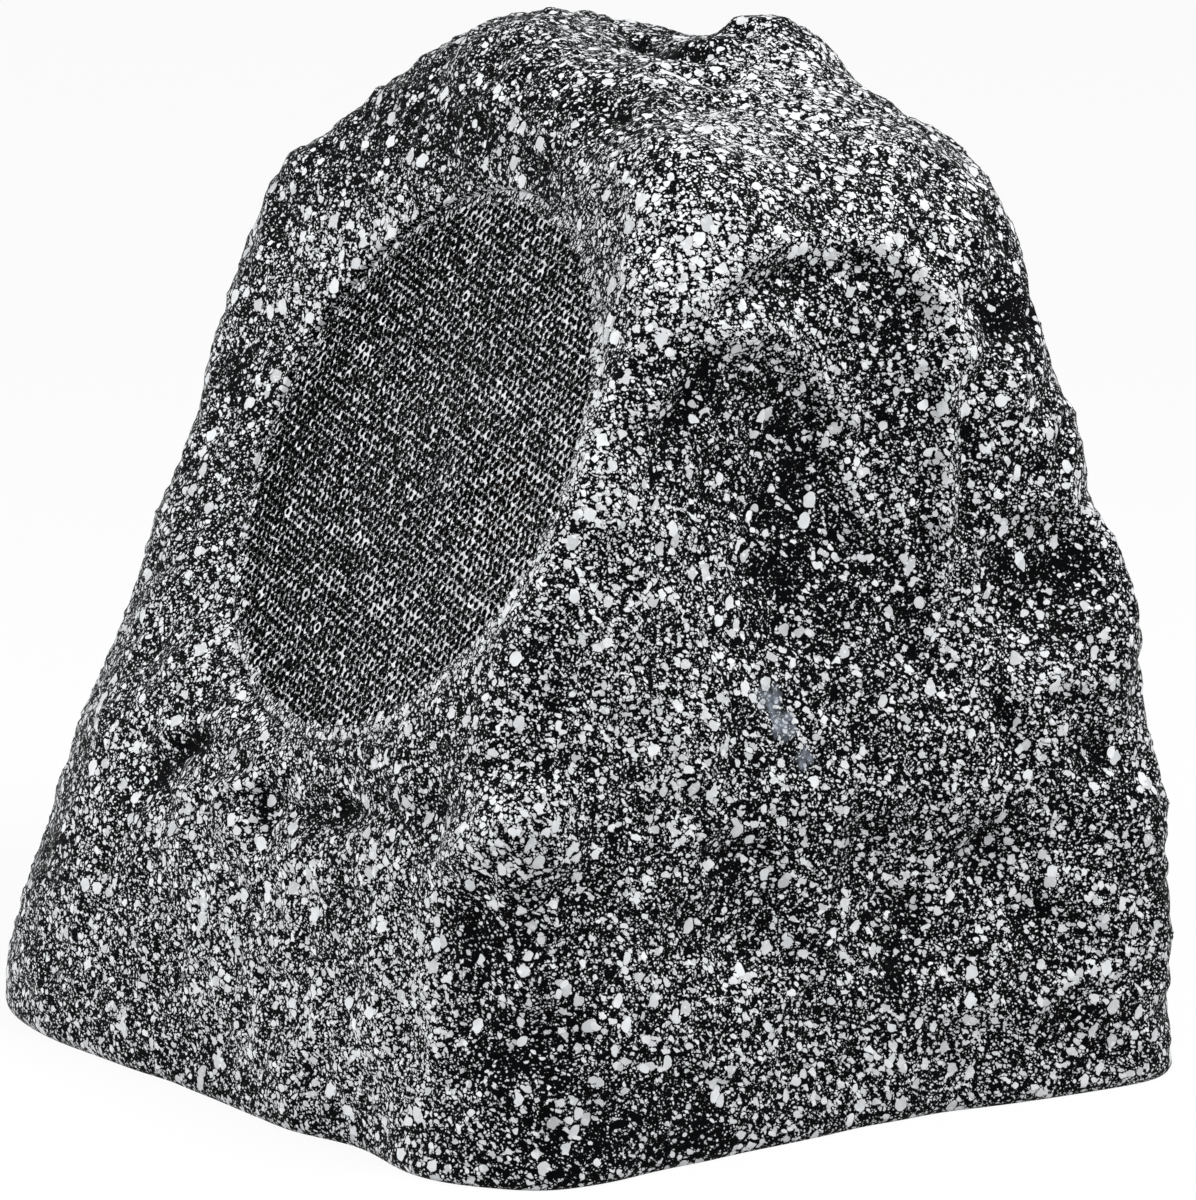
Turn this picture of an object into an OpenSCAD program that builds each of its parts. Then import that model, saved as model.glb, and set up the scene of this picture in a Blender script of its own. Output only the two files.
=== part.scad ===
// Garden loudspeaker in the shape of a boulder: a moulded stone-look shell, a round perforated grille,
// a coaxial driver behind it, a crossover and a screwed base.
// The front, with the grille, faces -Y. The origin is the middle of the foot, on the ground.

/* [Rock] */
// Overall width of the rock, left to right
body_w = 345; // [335:1:360]
// Overall depth of the rock, front to back
body_d = 374; // [366:1:390]
// Overall height of the rock
body_h = 408; // [402:1:420]
// Thickness of the moulded stone wall
rock_wall = 7; // [6:0.5:9]
// Size of the coarse stone grain
crag_size = 40; // [30:1:60]
// Depth of the coarse stone grain
crag_depth = 2.6; // [0:0.2:3]
// How far the stone stands proud of the grille at its lowest
lip_h = 1.5; // [1:0.5:4]

/* [Baffle] */
// Thickness of the flat wall that carries the driver
baffle_t = 14; // [10:1:18]
// Depth from the grille's seat down to the driver's seat
driver_recess = 10; // [8:1:14]
// Running gap round the grille and round the driver's flange
recess_gap = 0.75; // [0.5:0.25:1.5]

/* [Grille] */
// Diameter of the perforated grille
grille_d = 226; // [222:1:230]
// Thickness of the grille's steel sheet
grille_sheet = 1.2; // [0.8:0.1:1.6]
// Height of the grille's folded rim
grille_rim_h = 9; // [7:0.5:12]
// Distance between holes in a row
hole_pitch = 12; // [11:0.5:20]
// Diameter of a hole
hole_d = 8; // [4:0.5:9]
// Plain border round the holes
hole_border = 4; // [3:1:8]
// Turn of the rows of holes from level
hole_turn = -9; // [-30:1:30]
// Thickness of the foam ring under the grille
grille_gasket_t = 1; // [0.5:0.25:2]
// Width of the foam ring under the grille
grille_gasket_w = 5; // [3:0.5:5.5]

/* [Woofer] */
// Diameter of the driver's flange
flange_d = 208; // [204:1:208]
// Thickness of the driver's pressed steel sheet
basket_sheet = 1.5; // [1:0.1:2]
// Diameter of the hole in the baffle
cutout_d = 184; // [182:1:186]
// Thickness of the foam ring under the flange
flange_gasket_t = 1.5; // [1:0.25:3]
// Number of screws that hold the driver
driver_screw_count = 8; // [4:1:8]
// Diameter of the circle of driver screws
driver_screw_pcd = 197; // [196:0.5:198]
// Diameter of a driver screw's shank
driver_screw_d = 4; // [3.5:0.1:4.5]
// Length of a driver screw under its head
driver_screw_l = 14; // [12:1:15]
// Diameter of the cone at its outer edge
cone_d = 142; // [136:1:146]
// Width of the rolled rubber edge
surround_w = 14; // [12:0.5:15]
// Thickness of the rubber edge
surround_t = 1; // [0.6:0.1:1.2]
// Depth of the cone, from its edge to its neck
cone_drop = 27; // [22:1:30]
// Thickness of the cone
cone_t = 1; // [0.6:0.1:1.4]
// Travel of the cone each way, which the wound wire overhangs the gap by
cone_travel = 4; // [2:0.5:5]
// Outer diameter of the tube that carries the voice coil
former_d = 37.8; // [36:0.2:39]
// Wall of that tube
former_t = 0.5; // [0.3:0.1:0.6]
// Thickness of the wire wound on that tube
winding_t = 0.8; // [0.5:0.1:1]
// Depth from the flange's front to the shelf of the corrugated disc
spider_drop = 33; // [32:0.5:36]
// Thickness of the corrugated disc
spider_t = 0.6; // [0.4:0.1:1]
// Depth from the flange's front to the basket's floor
basket_drop = 42; // [40:1:46]
// Diameter of the magnet
magnet_d = 110; // [104:1:116]
// Thickness of the magnet
magnet_t = 20; // [16:1:24]
// Thickness of the steel plates of the magnet
plate_t = 8; // [6:0.5:10]

/* [Tweeter] */
// Outer diameter of the tweeter's cup
tweeter_d = 44; // [40:1:48]
// Height of the tweeter's cup
tweeter_h = 15; // [14:0.5:16]
// Distance from the grille's front down to the tweeter's rim
tweeter_set = 11; // [9:0.5:13]
// Diameter of the tweeter's dome
dome_d = 22; // [20:1:24]
// Height of the dome
dome_h = 4; // [3:0.5:5]
// Thickness of the dome
dome_t = 0.5; // [0.3:0.1:0.6]
// Diameter of the post that carries the tweeter
post_d = 9; // [7:0.5:11]

/* [Base] */
// Thickness of the base plate
base_t = 6; // [5:0.5:8]
// Thickness of the foam strip on the base plate
base_gasket_t = 1.5; // [1:0.25:2.5]
// Width of the foam strip on the base plate
base_gasket_w = 8; // [6:0.5:9]
// Stone left outside the base plate at the foot
foot_wall = 9; // [8:0.5:11]
// Width of the shelf that the base plate is screwed to
foot_shelf = 10; // [9.5:0.5:12]
// Height over which that shelf runs out into the wall
foot_shelf_h = 60; // [50:1:75]
// Gap round the base plate
base_gap = 1; // [0.5:0.25:1.5]
// Height of a rubber foot
foot_h = 4; // [3:0.5:6]
// Diameter of a rubber foot
foot_d = 30; // [20:1:36]
// Diameter of a base screw's shank
base_screw_d = 4; // [3.5:0.1:4.5]
// Length of a base screw under its head
base_screw_l = 20; // [16:1:24]

/* [Cable gland] */
// Diameter of the gland's shank through the wall
gland_d = 16; // [14:0.5:18]
// Diameter of the cable that the gland takes
cable_d = 7; // [5:0.5:8]
// Height of the gland above the ground
gland_z = 38; // [36:1:42]
// Thickness of the gland's collar
gland_collar_t = 4; // [3:0.5:5]
// Length of the gland's domed cap
gland_cap_l = 10; // [8:0.5:14]
// Thickness of the gland's nut inside the wall
gland_nut_t = 5; // [4:0.5:6]

/* [Crossover] */
// Length of the crossover board
board_l = 110; // [100:1:120]
// Width of the crossover board
board_w = 75; // [70:1:85]
// Thickness of the crossover board
board_t = 1.6; // [1:0.2:2.4]
// Height of the spacers under the board
spacer_h = 8; // [6:0.5:12]
// Outer diameter of the wound coil
coil_d = 38; // [34:1:42]
// Height of the wound coil
coil_h = 14; // [10:1:18]
// Diameter of the capacitor
cap_d = 14; // [12:0.5:16]
// Length of the capacitor
cap_l = 32; // [28:1:36]
// Length of the ceramic resistor
resistor_l = 25; // [20:1:30]
// Side of the ceramic resistor
resistor_s = 9; // [8:0.5:10]

/* [Hidden] */
$fn = 64;

// Depth by which every cut runs past the face that it opens
over = 1;
// Clearance between pieces that slide or screw into each other
slip = 0.05;

// Flat facets of the stone: direction it faces, lean back from upright, and a point on it as shares of the body
facet_shares = [
    [-89, 28, 0.061, -0.236, 0.618],   // face round the grille
    [-79.5, 7, 0.2, -0.405, 0],           // front skirt under the grille
    [-120, 16.6, -0.33, -0.523, 0],       // front left corner
    [-120, 36, -0.17, -0.272, 0.831],     // upper left shoulder
    [-120, 56, -0.09, -0.145, 0.945],     // crown above the upper left shoulder
    [-44, 4, 0.468, -0.3, 0],             // front right corner
    [0, 5, 0.495, 0.1, 0],                 // right side
    [-30, 27, 0.455, -0.203, 0.608],      // ridge between the grille and the right side
    [6, 40, 0.41, 0.05, 0.85],            // shoulder above the right side
    [14, 64, 0.24, 0.05, 0.95],           // crown above the right side
    [60, 13.8, 0.369, 0.588, 0],           // back right corner
    [60, 33, 0.262, 0.418, 0.82],         // shoulder above the back right corner
    [60, 58, 0.205, 0.328, 0.92],         // crown above the back right corner
    [90, 7, 0, 0.49, 0],                  // back
    [96, 42, 0, 0.355, 0.86],             // shoulder above the back
    [135, 10, -0.42, 0.44, 0],            // back left corner
    [180, 3.5, -0.49, 0, 0.05],           // left side
    [176, 36, -0.43, 0, 0.8],             // shoulder above the left side
    [-40, 87, -0.1, 0.1, 0.97],           // top
];
// How tightly the facets meet: the higher, the sharper the stone's edges
edge_sharpness = 34;

// Lumps (positive) and hollows (negative): a place as shares of the body, spread and rise as shares of its height
lump_shares = [
    [-0.12, 0.03, 0.97, 0.09, 0.034],     // left peak
    [0.05, 0.22, 0.97, 0.085, 0.045],     // right peak
    [-0.06, 0.12, 0.98, 0.06, -0.03],     // saddle between the peaks
    [-0.32, -0.47, 0.14, 0.2, 0.026],     // swelling of the front left corner
    [0.42, 0.46, 0.28, 0.24, 0.042],      // swelling of the back right corner
    [0.43, 0.42, 0.475, 0.07, 0.045],      // step in that corner
    [0.22, 0.36, 0.83, 0.09, 0.022],      // rounding of the back right shoulder
    [0.4, 0.41, 0.63, 0.12, 0.028],       // swelling under that shoulder
    [0.46, -0.31, 0.335, 0.07, 0.028],    // knob low on the front right corner
    [0.43, 0.0, 0.63, 0.12, -0.04],       // big hollow of the right side
    [0.43, 0.10, 0.72, 0.10, -0.03],      // its upper end
    [0.43, 0.06, 0.5, 0.10, -0.025],      // its lower end
    [0.43, -0.01, 0.765, 0.03, 0.02],     // nub inside it
    [0.43, 0.24, 0.71, 0.045, 0.02],      // rib behind it
    [0.43, 0.35, 0.5, 0.085, -0.04],      // hollow behind it
    [0.43, 0.33, 0.395, 0.05, 0.018],     // ledge under that hollow
    [0.44, 0.39, 0.32, 0.04, -0.03],      // pit under the ledge
    [0.42, 0.29, 0.75, 0.035, -0.025],    // pit high on the right side
    [0.42, 0.36, 0.66, 0.045, -0.02],     // pit under it
    [0.47, -0.04, 0.23, 0.06, -0.022],    // hollow low on the right side
    [0.47, 0.14, 0.23, 0.07, -0.03],      // hollow beside it
    [0.47, 0.28, 0.22, 0.06, -0.024],     // hollow beside that
    [0.47, 0.14, 0.02, 0.2, -0.02],       // slack in the right side's foot
    [-0.15, -0.40, 0.295, 0.035, -0.035], // crevice of the ledge under the grille
    [0.07, -0.40, 0.3, 0.035, -0.022],    // pit of the ledge
    [0.22, -0.39, 0.32, 0.04, -0.022],    // pit beside it
    [0.38, -0.37, 0.345, 0.035, -0.02],   // pit beside that
    [0.27, -0.40, 0.02, 0.05, -0.018],    // crease in the front foot
    [-0.36, -0.17, 0.78, 0.10, 0.044],    // brow above and left of the grille
    [0.15, -0.03, 0.94, 0.05, -0.018],    // dip in the ridge's top
];

// The grille's own frame: its middle on the body, and the lean of the face back from upright
face_shares = [0.061, -0.211, 0.608];
face_lean = 28;
face_middle = [face_shares.x * body_w, face_shares.y * body_d, face_shares.z * body_h];
face_out = [0, -cos(face_lean), sin(face_lean)];

// Depths along the driver's axis, measured from the grille's front, outwards positive
grille_foot = -grille_rim_h;
recess_floor = grille_foot - grille_gasket_t;
driver_seat = recess_floor - driver_recess;
baffle_back = driver_seat - baffle_t;
flange_back = driver_seat + flange_gasket_t;
flange_front = flange_back + basket_sheet;
spider_seat = flange_front - spider_drop;
basket_floor = flange_front - basket_drop;
plate_top = basket_floor - basket_sheet;
magnet_top = plate_top - plate_t;
magnet_back = magnet_top - magnet_t;
driver_back = magnet_back - plate_t;
cone_neck = flange_front - cone_drop;
tweeter_rim = -tweeter_set;
tweeter_floor = tweeter_rim - tweeter_h;

recess_r = grille_d / 2 + recess_gap;
driver_recess_r = flange_d / 2 + recess_gap;

// Radii of the driver's parts
cone_r = cone_d / 2;
former_r = former_d / 2;
roll_r = surround_w / 2;
surround_foot_w = 6;
winding_h = plate_t + 2 * cone_travel;
basket_mouth_r = cone_r + surround_w - surround_t / 2;
cone_foot_w = 4;
neck_h = 3;
spider_r = 59;
spider_room = 2;
shelf_w = 8;
floor_step = 1;
floor_r = spider_r - shelf_w - floor_step;
coil_gap = 0.4;
pole_gap = 0.4;
winding_r = former_r + winding_t;
pole_r = former_r - former_t - pole_gap;
plate_bore_r = winding_r + coil_gap;
bore_step = 2;
basket_bore_r = plate_bore_r + bore_step;
magnet_rim = 4;
steel_r = magnet_d / 2 - magnet_rim;
magnet_bore_share = 0.27;
screw_room = 6 * slip;

function unit(v) = v / norm(v);
function mix(a, b, t) = a + (b - a) * t;
function ease(t) = t * t * (3 - 2 * t);
function total(list) = list * [for (x = list) 1];
function in_body(s) = [s.x * body_w, s.y * body_d, s.z * body_h];

function facet_normal(f) = [cos(f[0]) * cos(f[1]), sin(f[0]) * cos(f[1]), sin(f[1])];
facet_normals = [for (f = facet_shares) facet_normal(f)];
facet_points = [for (f = facet_shares) in_body([f[2], f[3], f[4]])];
lump_points = [for (l = lump_shares) in_body(l)];

// Distance from a point inside the stone to its facets along a ray, with the edges between facets rounded
function facet_reach(from, way) =
    pow(total([for (i = [0 : len(facet_shares) - 1])
        pow(max(0, facet_normals[i] * way) / (facet_normals[i] * (facet_points[i] - from)), edge_sharpness)]),
        -1 / edge_sharpness);

function lump_rise(p) =
    body_h * total([for (i = [0 : len(lump_shares) - 1])
        let (gap = norm(p - lump_points[i]) / (lump_shares[i][3] * body_h))
        lump_shares[i][4] * exp(-gap * gap)]);

// The cable gland low on the back, square to it
back_lean = 7;
gland_x = -0.2 * body_w;
gland_sink = 3;
gland_thread = 1;
gland_tail = 2;
seal_t = 2;
cap_step = 1;
cap_lip = 1;
cap_skirt_share = 0.5;
seal_share = 0.7;
gland_pad_r = gland_d * 1.1;
gland_collar_r = gland_d * 0.72;
gland_web = 6;
gland_place = [gland_x, 0.49 * body_d - gland_z * tan(back_lean), gland_z];
gland_face = gland_place.y - gland_sink;

// Repeatable scatter between 0 and 1 for a corner of the stone's grain, and the grain between the corners
function scatter(i, j, k) = let (s = sin(i * 127.1 + j * 311.7 + k * 74.7) * 4375.85) s - floor(s);
function grain(p) =
    let (c = [floor(p.x), floor(p.y), floor(p.z)], t = [ease(p.x - c.x), ease(p.y - c.y), ease(p.z - c.z)])
    mix(
        mix(mix(scatter(c.x, c.y, c.z), scatter(c.x + 1, c.y, c.z), t.x),
            mix(scatter(c.x, c.y + 1, c.z), scatter(c.x + 1, c.y + 1, c.z), t.x), t.y),
        mix(mix(scatter(c.x, c.y, c.z + 1), scatter(c.x + 1, c.y, c.z + 1), t.x),
            mix(scatter(c.x, c.y + 1, c.z + 1), scatter(c.x + 1, c.y + 1, c.z + 1), t.x), t.y),
        t.z);
function skewed(p) = [p.x + 0.6 * p.y, p.y + 0.5 * p.z - 0.3 * p.x, p.z + 0.5 * p.x - 0.2 * p.y];
fine_grain = 1.9;
fine_depth = 0.6;
function crag(p) =
    let (q = skewed(p) / crag_size, calm = min(1, norm(p - gland_place) / gland_pad_r - 1))
    crag_depth * max(0, calm) * (2 * grain(q) - 1 + fine_depth * (2 * grain(q * fine_grain) - 1));

// The dish that the stone leaves free round the grille, with its flare outwards and its softened edge
dish_flare = 0.5;
dish_soft = 2.5;
function depth_and_side(p) =
    let (gap = p - face_middle, out = gap * face_out) [out, norm(gap - face_out * out)];
function above_dish(p) =
    let (d = depth_and_side(p), above = d[0] - lip_h - dish_flare * max(0, d[1] - recess_r))
    (above + norm([above, 2 * dish_soft])) / 2;
// The block of stone that the baffle keeps behind the grille, with its sides sloping back to the wall
baffle_r = recess_r + rock_wall;
function in_baffle(p) =
    let (d = depth_and_side(p)) max(0, d[0] - baffle_back - max(0, d[1] - baffle_r));
function towards_face(way) = max(0.2, way * face_out);
function off_dish(p, way, turns = 2) =
    turns == 0 ? p : off_dish(p - way * above_dish(p) / towards_face(way), way, turns - 1);
function off_baffle(p, way, turns = 4) =
    turns == 0 ? p : off_baffle(p - way * in_baffle(p) / towards_face(way), way, turns - 1);

// Rays that draw the stone: level at the foot, upright at the top, from a start that climbs inside it
heart_shares = [0.05, 0.03, 0.42];
climb = 1.12;
function ray_from(v) = in_body([heart_shares.x, heart_shares.y, heart_shares.z * ease(v)]);
function ray_way(u, v) =
    let (up = 90 * pow(v, climb)) [cos(u) * cos(up), sin(u) * cos(up), sin(up)];
function plain_point(u, v, inset) =
    let (from = ray_from(v), way = ray_way(u, v), p = from + way * facet_reach(from, way))
    p + way * (lump_rise(p) - inset);
function outer_point(u, v) =
    let (way = ray_way(u, v), p = plain_point(u, v, 0), q = p + way * crag(p))
    way * face_out > 0.1 ? off_dish(q, way) : q;
function inner_inset(p) = rock_wall + (foot_wall + foot_shelf - rock_wall) * max(0, 1 - p.z / foot_shelf_h);
function inner_point(u, v, inset = 0) =
    let (way = ray_way(u, v), p = plain_point(u, v, 0), q = p - way * (inner_inset(p) + inset))
    way * face_out > 0.1 ? off_baffle(q, way) : q;

// Points of the skins, ring by ring from the foot to the top
around_count = 88;
ring_count = 44;
inner_around_count = around_count / 2;
inner_ring_count = 18;
outer_skin = [for (k = [0 : ring_count - 1], i = [0 : around_count - 1])
    outer_point(360 * i / around_count, k / ring_count)];
inner_skin = [for (k = [0 : inner_ring_count - 1], i = [0 : inner_around_count - 1])
    inner_point(360 * i / inner_around_count, k / inner_ring_count)];

// Faces of a dome of rings that ends in one top point; a turned dome faces inwards
function dome_faces(around, rings, first, turned) =
    let (top = first + around * rings)
    [for (k = [0 : rings - 1], i = [0 : around - 1])
        let (a = first + k * around + i, b = first + k * around + (i + 1) % around, last = k == rings - 1)
        each [for (f = last ? [[a, top, b]] : [[a, a + around, b + around], [a, b + around, b]])
            turned ? [f[2], f[1], f[0]] : f]];

// Place on the foot's outline, a distance inside the stone's outer face
function foot_point(u, inset) = let (p = plain_point(u, 0, inset)) [p.x, p.y];
foot_turn_share = 0.3;
function foot_outline(inset) =
    [for (i = [0 : around_count - 1]) foot_point(360 * (i + foot_turn_share) / around_count, inset)];

plate_low = foot_h;
plate_high = plate_low + base_t;
shelf_low = plate_high + base_gasket_t;
plate_inset = foot_wall + base_gap;
base_screw_edge = 5.5;
base_screw_inset = foot_wall + base_screw_edge;
base_screw_count = 8;
base_screw_turn = 5;
base_screw_turns = [for (i = [0 : base_screw_count - 1]) 360 * i / base_screw_count + base_screw_turn];
base_head_r = base_screw_d;
base_head_h = base_screw_d * 0.55;
pan_head_r = driver_screw_d * 0.9;
pan_head_h = driver_screw_d * 0.6;
foot_edge = 34;
foot_inset = foot_wall + foot_edge;
foot_turns = [40, 140, 220, 320];

module at_face() translate(face_middle) rotate([90 - face_lean, 0, 0]) children();
module at_gland() translate([gland_x, gland_face, gland_z]) rotate([-90, 0, 0]) children();
module around(count, r, first = 0)
    for (i = [0 : count - 1]) rotate([0, 0, first + 360 * i / count]) translate([r, 0, 0]) children();
module disc(r, low, high) translate([0, 0, low]) cylinder(r = r, h = high - low);
module ring(outer_r, inner_r, low, high) difference() {
    disc(outer_r, low, high);
    disc(inner_r, low - over, high + over);
}
module each_base_screw()
    for (u = base_screw_turns) let (p = foot_point(u, base_screw_inset)) translate([p.x, p.y, 0]) children();

module rock_shell() color("#3f4245") difference() {
    polyhedron(
        points = concat(outer_skin, [outer_point(0, 1)], inner_skin, [inner_point(0, 1)]),
        faces = let (start = around_count * ring_count + 1) concat(
            dome_faces(around_count, ring_count, 0, false),
            dome_faces(inner_around_count, inner_ring_count, start, true),
            [for (i = [0 : inner_around_count - 1])
                let (a = 2 * i, b = 2 * i + 1, c = (2 * i + 2) % around_count,
                     d = start + i, e = start + (i + 1) % inner_around_count)
                each [[a, b, d], [b, e, d], [b, c, e]]]));
    at_face() {
        disc(recess_r, recess_floor, lip_h + body_h / 4);
        disc(driver_recess_r, driver_seat, over);
        disc(cutout_d / 2, baffle_back - body_h / 20, over);
        around(driver_screw_count, driver_screw_pcd / 2, 180 / driver_screw_count)
            disc(driver_screw_d / 2 + slip, flange_front - driver_screw_l - over, over);
    }
    translate([0, 0, -over]) linear_extrude(shelf_low + over) polygon(foot_outline(foot_wall));
    each_base_screw() disc(base_screw_d / 2 + slip, 0, plate_low + base_screw_l + over);
    at_gland() {
        disc(gland_d / 2 + slip, -body_h / 10, over);
        disc(gland_pad_r, 0, body_h / 20);
        disc(gland_pad_r, -gland_web - body_h / 20, -gland_web);
    }
}

module hole_rows() let (reach = grille_d / 2 - hole_border - hole_d / 2, row = hole_pitch * sin(60))
    rotate([0, 0, hole_turn])
        for (j = [-ceil(reach / row) : ceil(reach / row)], i = [-ceil(reach / hole_pitch) : ceil(reach / hole_pitch)])
            let (p = [hole_pitch * (i + (j % 2 == 0 ? 0 : 0.5)), row * j])
                if (norm(p) <= reach) translate(p) circle(d = hole_d, $fn = 24);
module grille() color("#44474a") at_face() {
    translate([0, 0, -grille_sheet]) linear_extrude(grille_sheet) difference() {
        circle(d = grille_d);
        hole_rows();
    }
    ring(grille_d / 2, grille_d / 2 - grille_sheet, grille_foot, -grille_sheet);
}
module grille_gasket() color("#1b1b1c") at_face()
    ring(grille_d / 2, grille_d / 2 - grille_gasket_w, recess_floor, grille_foot);

module woofer_basket() color("#26282a") at_face() difference() {
    rotate_extrude() polygon([
        [flange_d / 2, flange_front], [basket_mouth_r, flange_front], [spider_r + spider_room, spider_seat],
        [spider_r - shelf_w, spider_seat], [floor_r, basket_floor], [basket_bore_r, basket_floor],
        [basket_bore_r, plate_top], [floor_r + basket_sheet, plate_top],
        [spider_r - shelf_w + basket_sheet, spider_seat - basket_sheet],
        [spider_r + spider_room + basket_sheet, spider_seat - basket_sheet],
        [basket_mouth_r + basket_sheet, flange_back], [flange_d / 2, flange_back],
    ]);
    around(basket_window_count, spider_r, 30) translate([0, -basket_window_w / 2, spider_seat + basket_window_rim])
        cube([flange_d / 2, basket_window_w, spider_drop - basket_sheet - 2 * basket_window_rim]);
    around(driver_screw_count, driver_screw_pcd / 2, 180 / driver_screw_count)
        disc(driver_screw_d / 2 + screw_room, flange_back - over, flange_front + over);
}
basket_window_count = 6;
basket_window_w = 46;
basket_window_rim = 5;
module woofer_gasket() color("#1b1b1c") at_face() difference() {
    ring(flange_d / 2, cutout_d / 2, driver_seat, flange_back);
    around(driver_screw_count, driver_screw_pcd / 2, 180 / driver_screw_count)
        disc(driver_screw_d / 2 + screw_room, driver_seat - over, flange_back + over);
}
module woofer_screws() color("#9a9c9e") at_face()
    around(driver_screw_count, driver_screw_pcd / 2, 180 / driver_screw_count) difference() {
        union() {
            disc(driver_screw_d / 2, flange_front - driver_screw_l, flange_front);
            disc(pan_head_r, flange_front, flange_front + pan_head_h);
        }
        for (turn = [0, 90]) rotate([0, 0, turn])
            translate([-pan_head_r / 2, -slot_w / 2, flange_front + pan_head_h / 2])
                cube([pan_head_r, slot_w, pan_head_h]);
    }
slot_w = 1;
module trim_ring() color("#222324") at_face()
    ring(driver_screw_pcd / 2 - pan_head_r - trim_gap, basket_mouth_r + surround_foot_w + trim_gap,
        flange_front, flange_front + trim_h);
trim_h = 2;
trim_gap = 0.5;

module woofer_surround() color("#1d1d1f") at_face() rotate_extrude() translate([0, flange_front]) {
    translate([cone_r + roll_r, 0]) intersection() {
        difference() {
            circle(r = roll_r + surround_t / 2);
            circle(r = roll_r - surround_t / 2);
        }
        translate([-surround_w, 0]) square([2 * surround_w, surround_w]);
    }
    translate([cone_r - cone_foot_w, 0]) square([cone_foot_w + surround_t / 2, surround_t]);
    translate([basket_mouth_r, 0]) square([surround_foot_w, surround_t]);
}
cone_steps = 8;
cone_bow = 0.9;
function cone_line(drop) = [for (i = [0 : cone_steps])
    let (t = i / cone_steps)
    [mix(cone_r - cone_foot_w, former_r, t),
        mix(flange_front, cone_neck, pow(t, cone_bow)) - drop * mix(1, neck_h / cone_t, t)]];
module woofer_cone() color("#303234") at_face() rotate_extrude() polygon(concat(
    [[cone_r, flange_front]], cone_line(0),
    [for (i = [cone_steps : -1 : 0]) cone_line(cone_t)[i]], [[cone_r, flange_front - cone_t]]));
coil_middle = plate_top - plate_t / 2;
former_end = 2;
former_low = coil_middle - winding_h / 2 - former_end;
module voice_coil_former() color("#c9b58a") at_face()
    ring(former_r, former_r - former_t, former_low, cone_neck + former_end);
module voice_coil_winding() color("#a8652a") at_face()
    ring(winding_r, former_r, coil_middle - winding_h / 2, coil_middle + winding_h / 2);

spider_waves = 4;
spider_wave_h = 1.4;
spider_steps = 6 * spider_waves;
function spider_line(rise) = [for (i = [0 : spider_steps])
    let (t = i / spider_steps)
    [mix(former_r, spider_r - shelf_w, t), spider_seat + rise + spider_wave_h * sin(360 * spider_waves * t)]];
module spider() color("#b98d3c") at_face() rotate_extrude() polygon(concat(
    spider_line(0), [[spider_r, spider_seat], [spider_r, spider_seat + spider_t]],
    [for (i = [spider_steps : -1 : 0]) spider_line(spider_t)[i]]));

module top_plate() color("#8d9094") at_face() ring(steel_r, plate_bore_r, magnet_top, plate_top);
module magnet() color("#2c2b2b") at_face() ring(magnet_d / 2, magnet_d * magnet_bore_share, magnet_back, magnet_top);
module back_plate() color("#8d9094") at_face() difference() {
    union() {
        disc(steel_r, driver_back, magnet_back);
        disc(pole_r, magnet_back - over, plate_top);
    }
    disc(post_d / 2 + slip, driver_back - over, plate_top + over);
}

tweeter_wall = 1.5;
tweeter_base_t = 2;
tweeter_seat_w = 3.5;
tweeter_edge = 2;
bezel_t = 3;
bezel_throat = 1.5;
bezel_mouth = 5;
tweeter_seat = tweeter_rim - bezel_t - dome_t;
tweeter_in_r = tweeter_d / 2 - tweeter_wall;
module tweeter_post() color("#8d9094") at_face() disc(post_d / 2, driver_back, tweeter_floor + tweeter_base_t);
module tweeter_cup() color("#202123") at_face() rotate_extrude() polygon([
    [post_d / 2 + slip, tweeter_floor], [tweeter_d / 2 - tweeter_edge, tweeter_floor],
    [tweeter_d / 2, tweeter_floor + tweeter_edge],
    [tweeter_d / 2, tweeter_rim], [tweeter_in_r, tweeter_rim], [tweeter_in_r, tweeter_seat],
    [tweeter_in_r - tweeter_seat_w, tweeter_seat], [tweeter_in_r - tweeter_seat_w, tweeter_floor + tweeter_base_t],
    [post_d / 2 + slip, tweeter_floor + tweeter_base_t],
]);
tweeter_magnet_gap = 2;
tweeter_magnet_r = tweeter_in_r - tweeter_seat_w - tweeter_magnet_gap;
tweeter_magnet_t = 6;
module tweeter_magnet() color("#b9bcc0") at_face()
    disc(tweeter_magnet_r, tweeter_floor + tweeter_base_t, tweeter_floor + tweeter_base_t + tweeter_magnet_t);
dome_ball_r = (dome_d * dome_d / 4 + dome_h * dome_h) / (2 * dome_h);
module tweeter_dome() color("#c9cbd0") at_face() {
    translate([0, 0, tweeter_seat]) rotate_extrude() {
        translate([dome_d / 2 - dome_t, 0]) square([tweeter_in_r - dome_d / 2 + dome_t - screw_room, dome_t]);
        intersection() {
            translate([0, dome_h - dome_ball_r + dome_t / 2]) difference() {
                circle(r = dome_ball_r);
                circle(r = dome_ball_r - dome_t);
            }
            square([dome_d / 2, dome_h + dome_t]);
        }
    }
}
module tweeter_bezel() color("#202123") at_face() rotate_extrude() polygon([
    [dome_d / 2 + bezel_throat, tweeter_seat + dome_t], [tweeter_in_r - slip, tweeter_seat + dome_t],
    [tweeter_in_r - slip, tweeter_rim], [dome_d / 2 + bezel_mouth, tweeter_rim],
]);

tag_l = 24;
tag_w = 16;
tag_t = 1.5;
tab_w = 5;
tab_t = 0.8;
tab_l = 9;
tag_gap = 1;
tag_top = spider_seat - basket_sheet;
module at_tag() at_face() rotate([0, 0, -90]) translate([spider_r - shelf_w + basket_sheet + tag_gap, 0, 0]) children();
module tag_board() color("#7a5a30") at_tag()
    translate([0, -tag_l / 2, tag_top - tag_t]) cube([tag_w, tag_l, tag_t]);
module tag_tabs() color("#c8b46a") at_tag() for (side = [-1, 1])
    translate([tag_w / 2, side * tag_l / 4 - tab_w / 2, tag_top - tag_t - tab_t]) cube([tab_l + tag_w / 2, tab_w, tab_t]);

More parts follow.
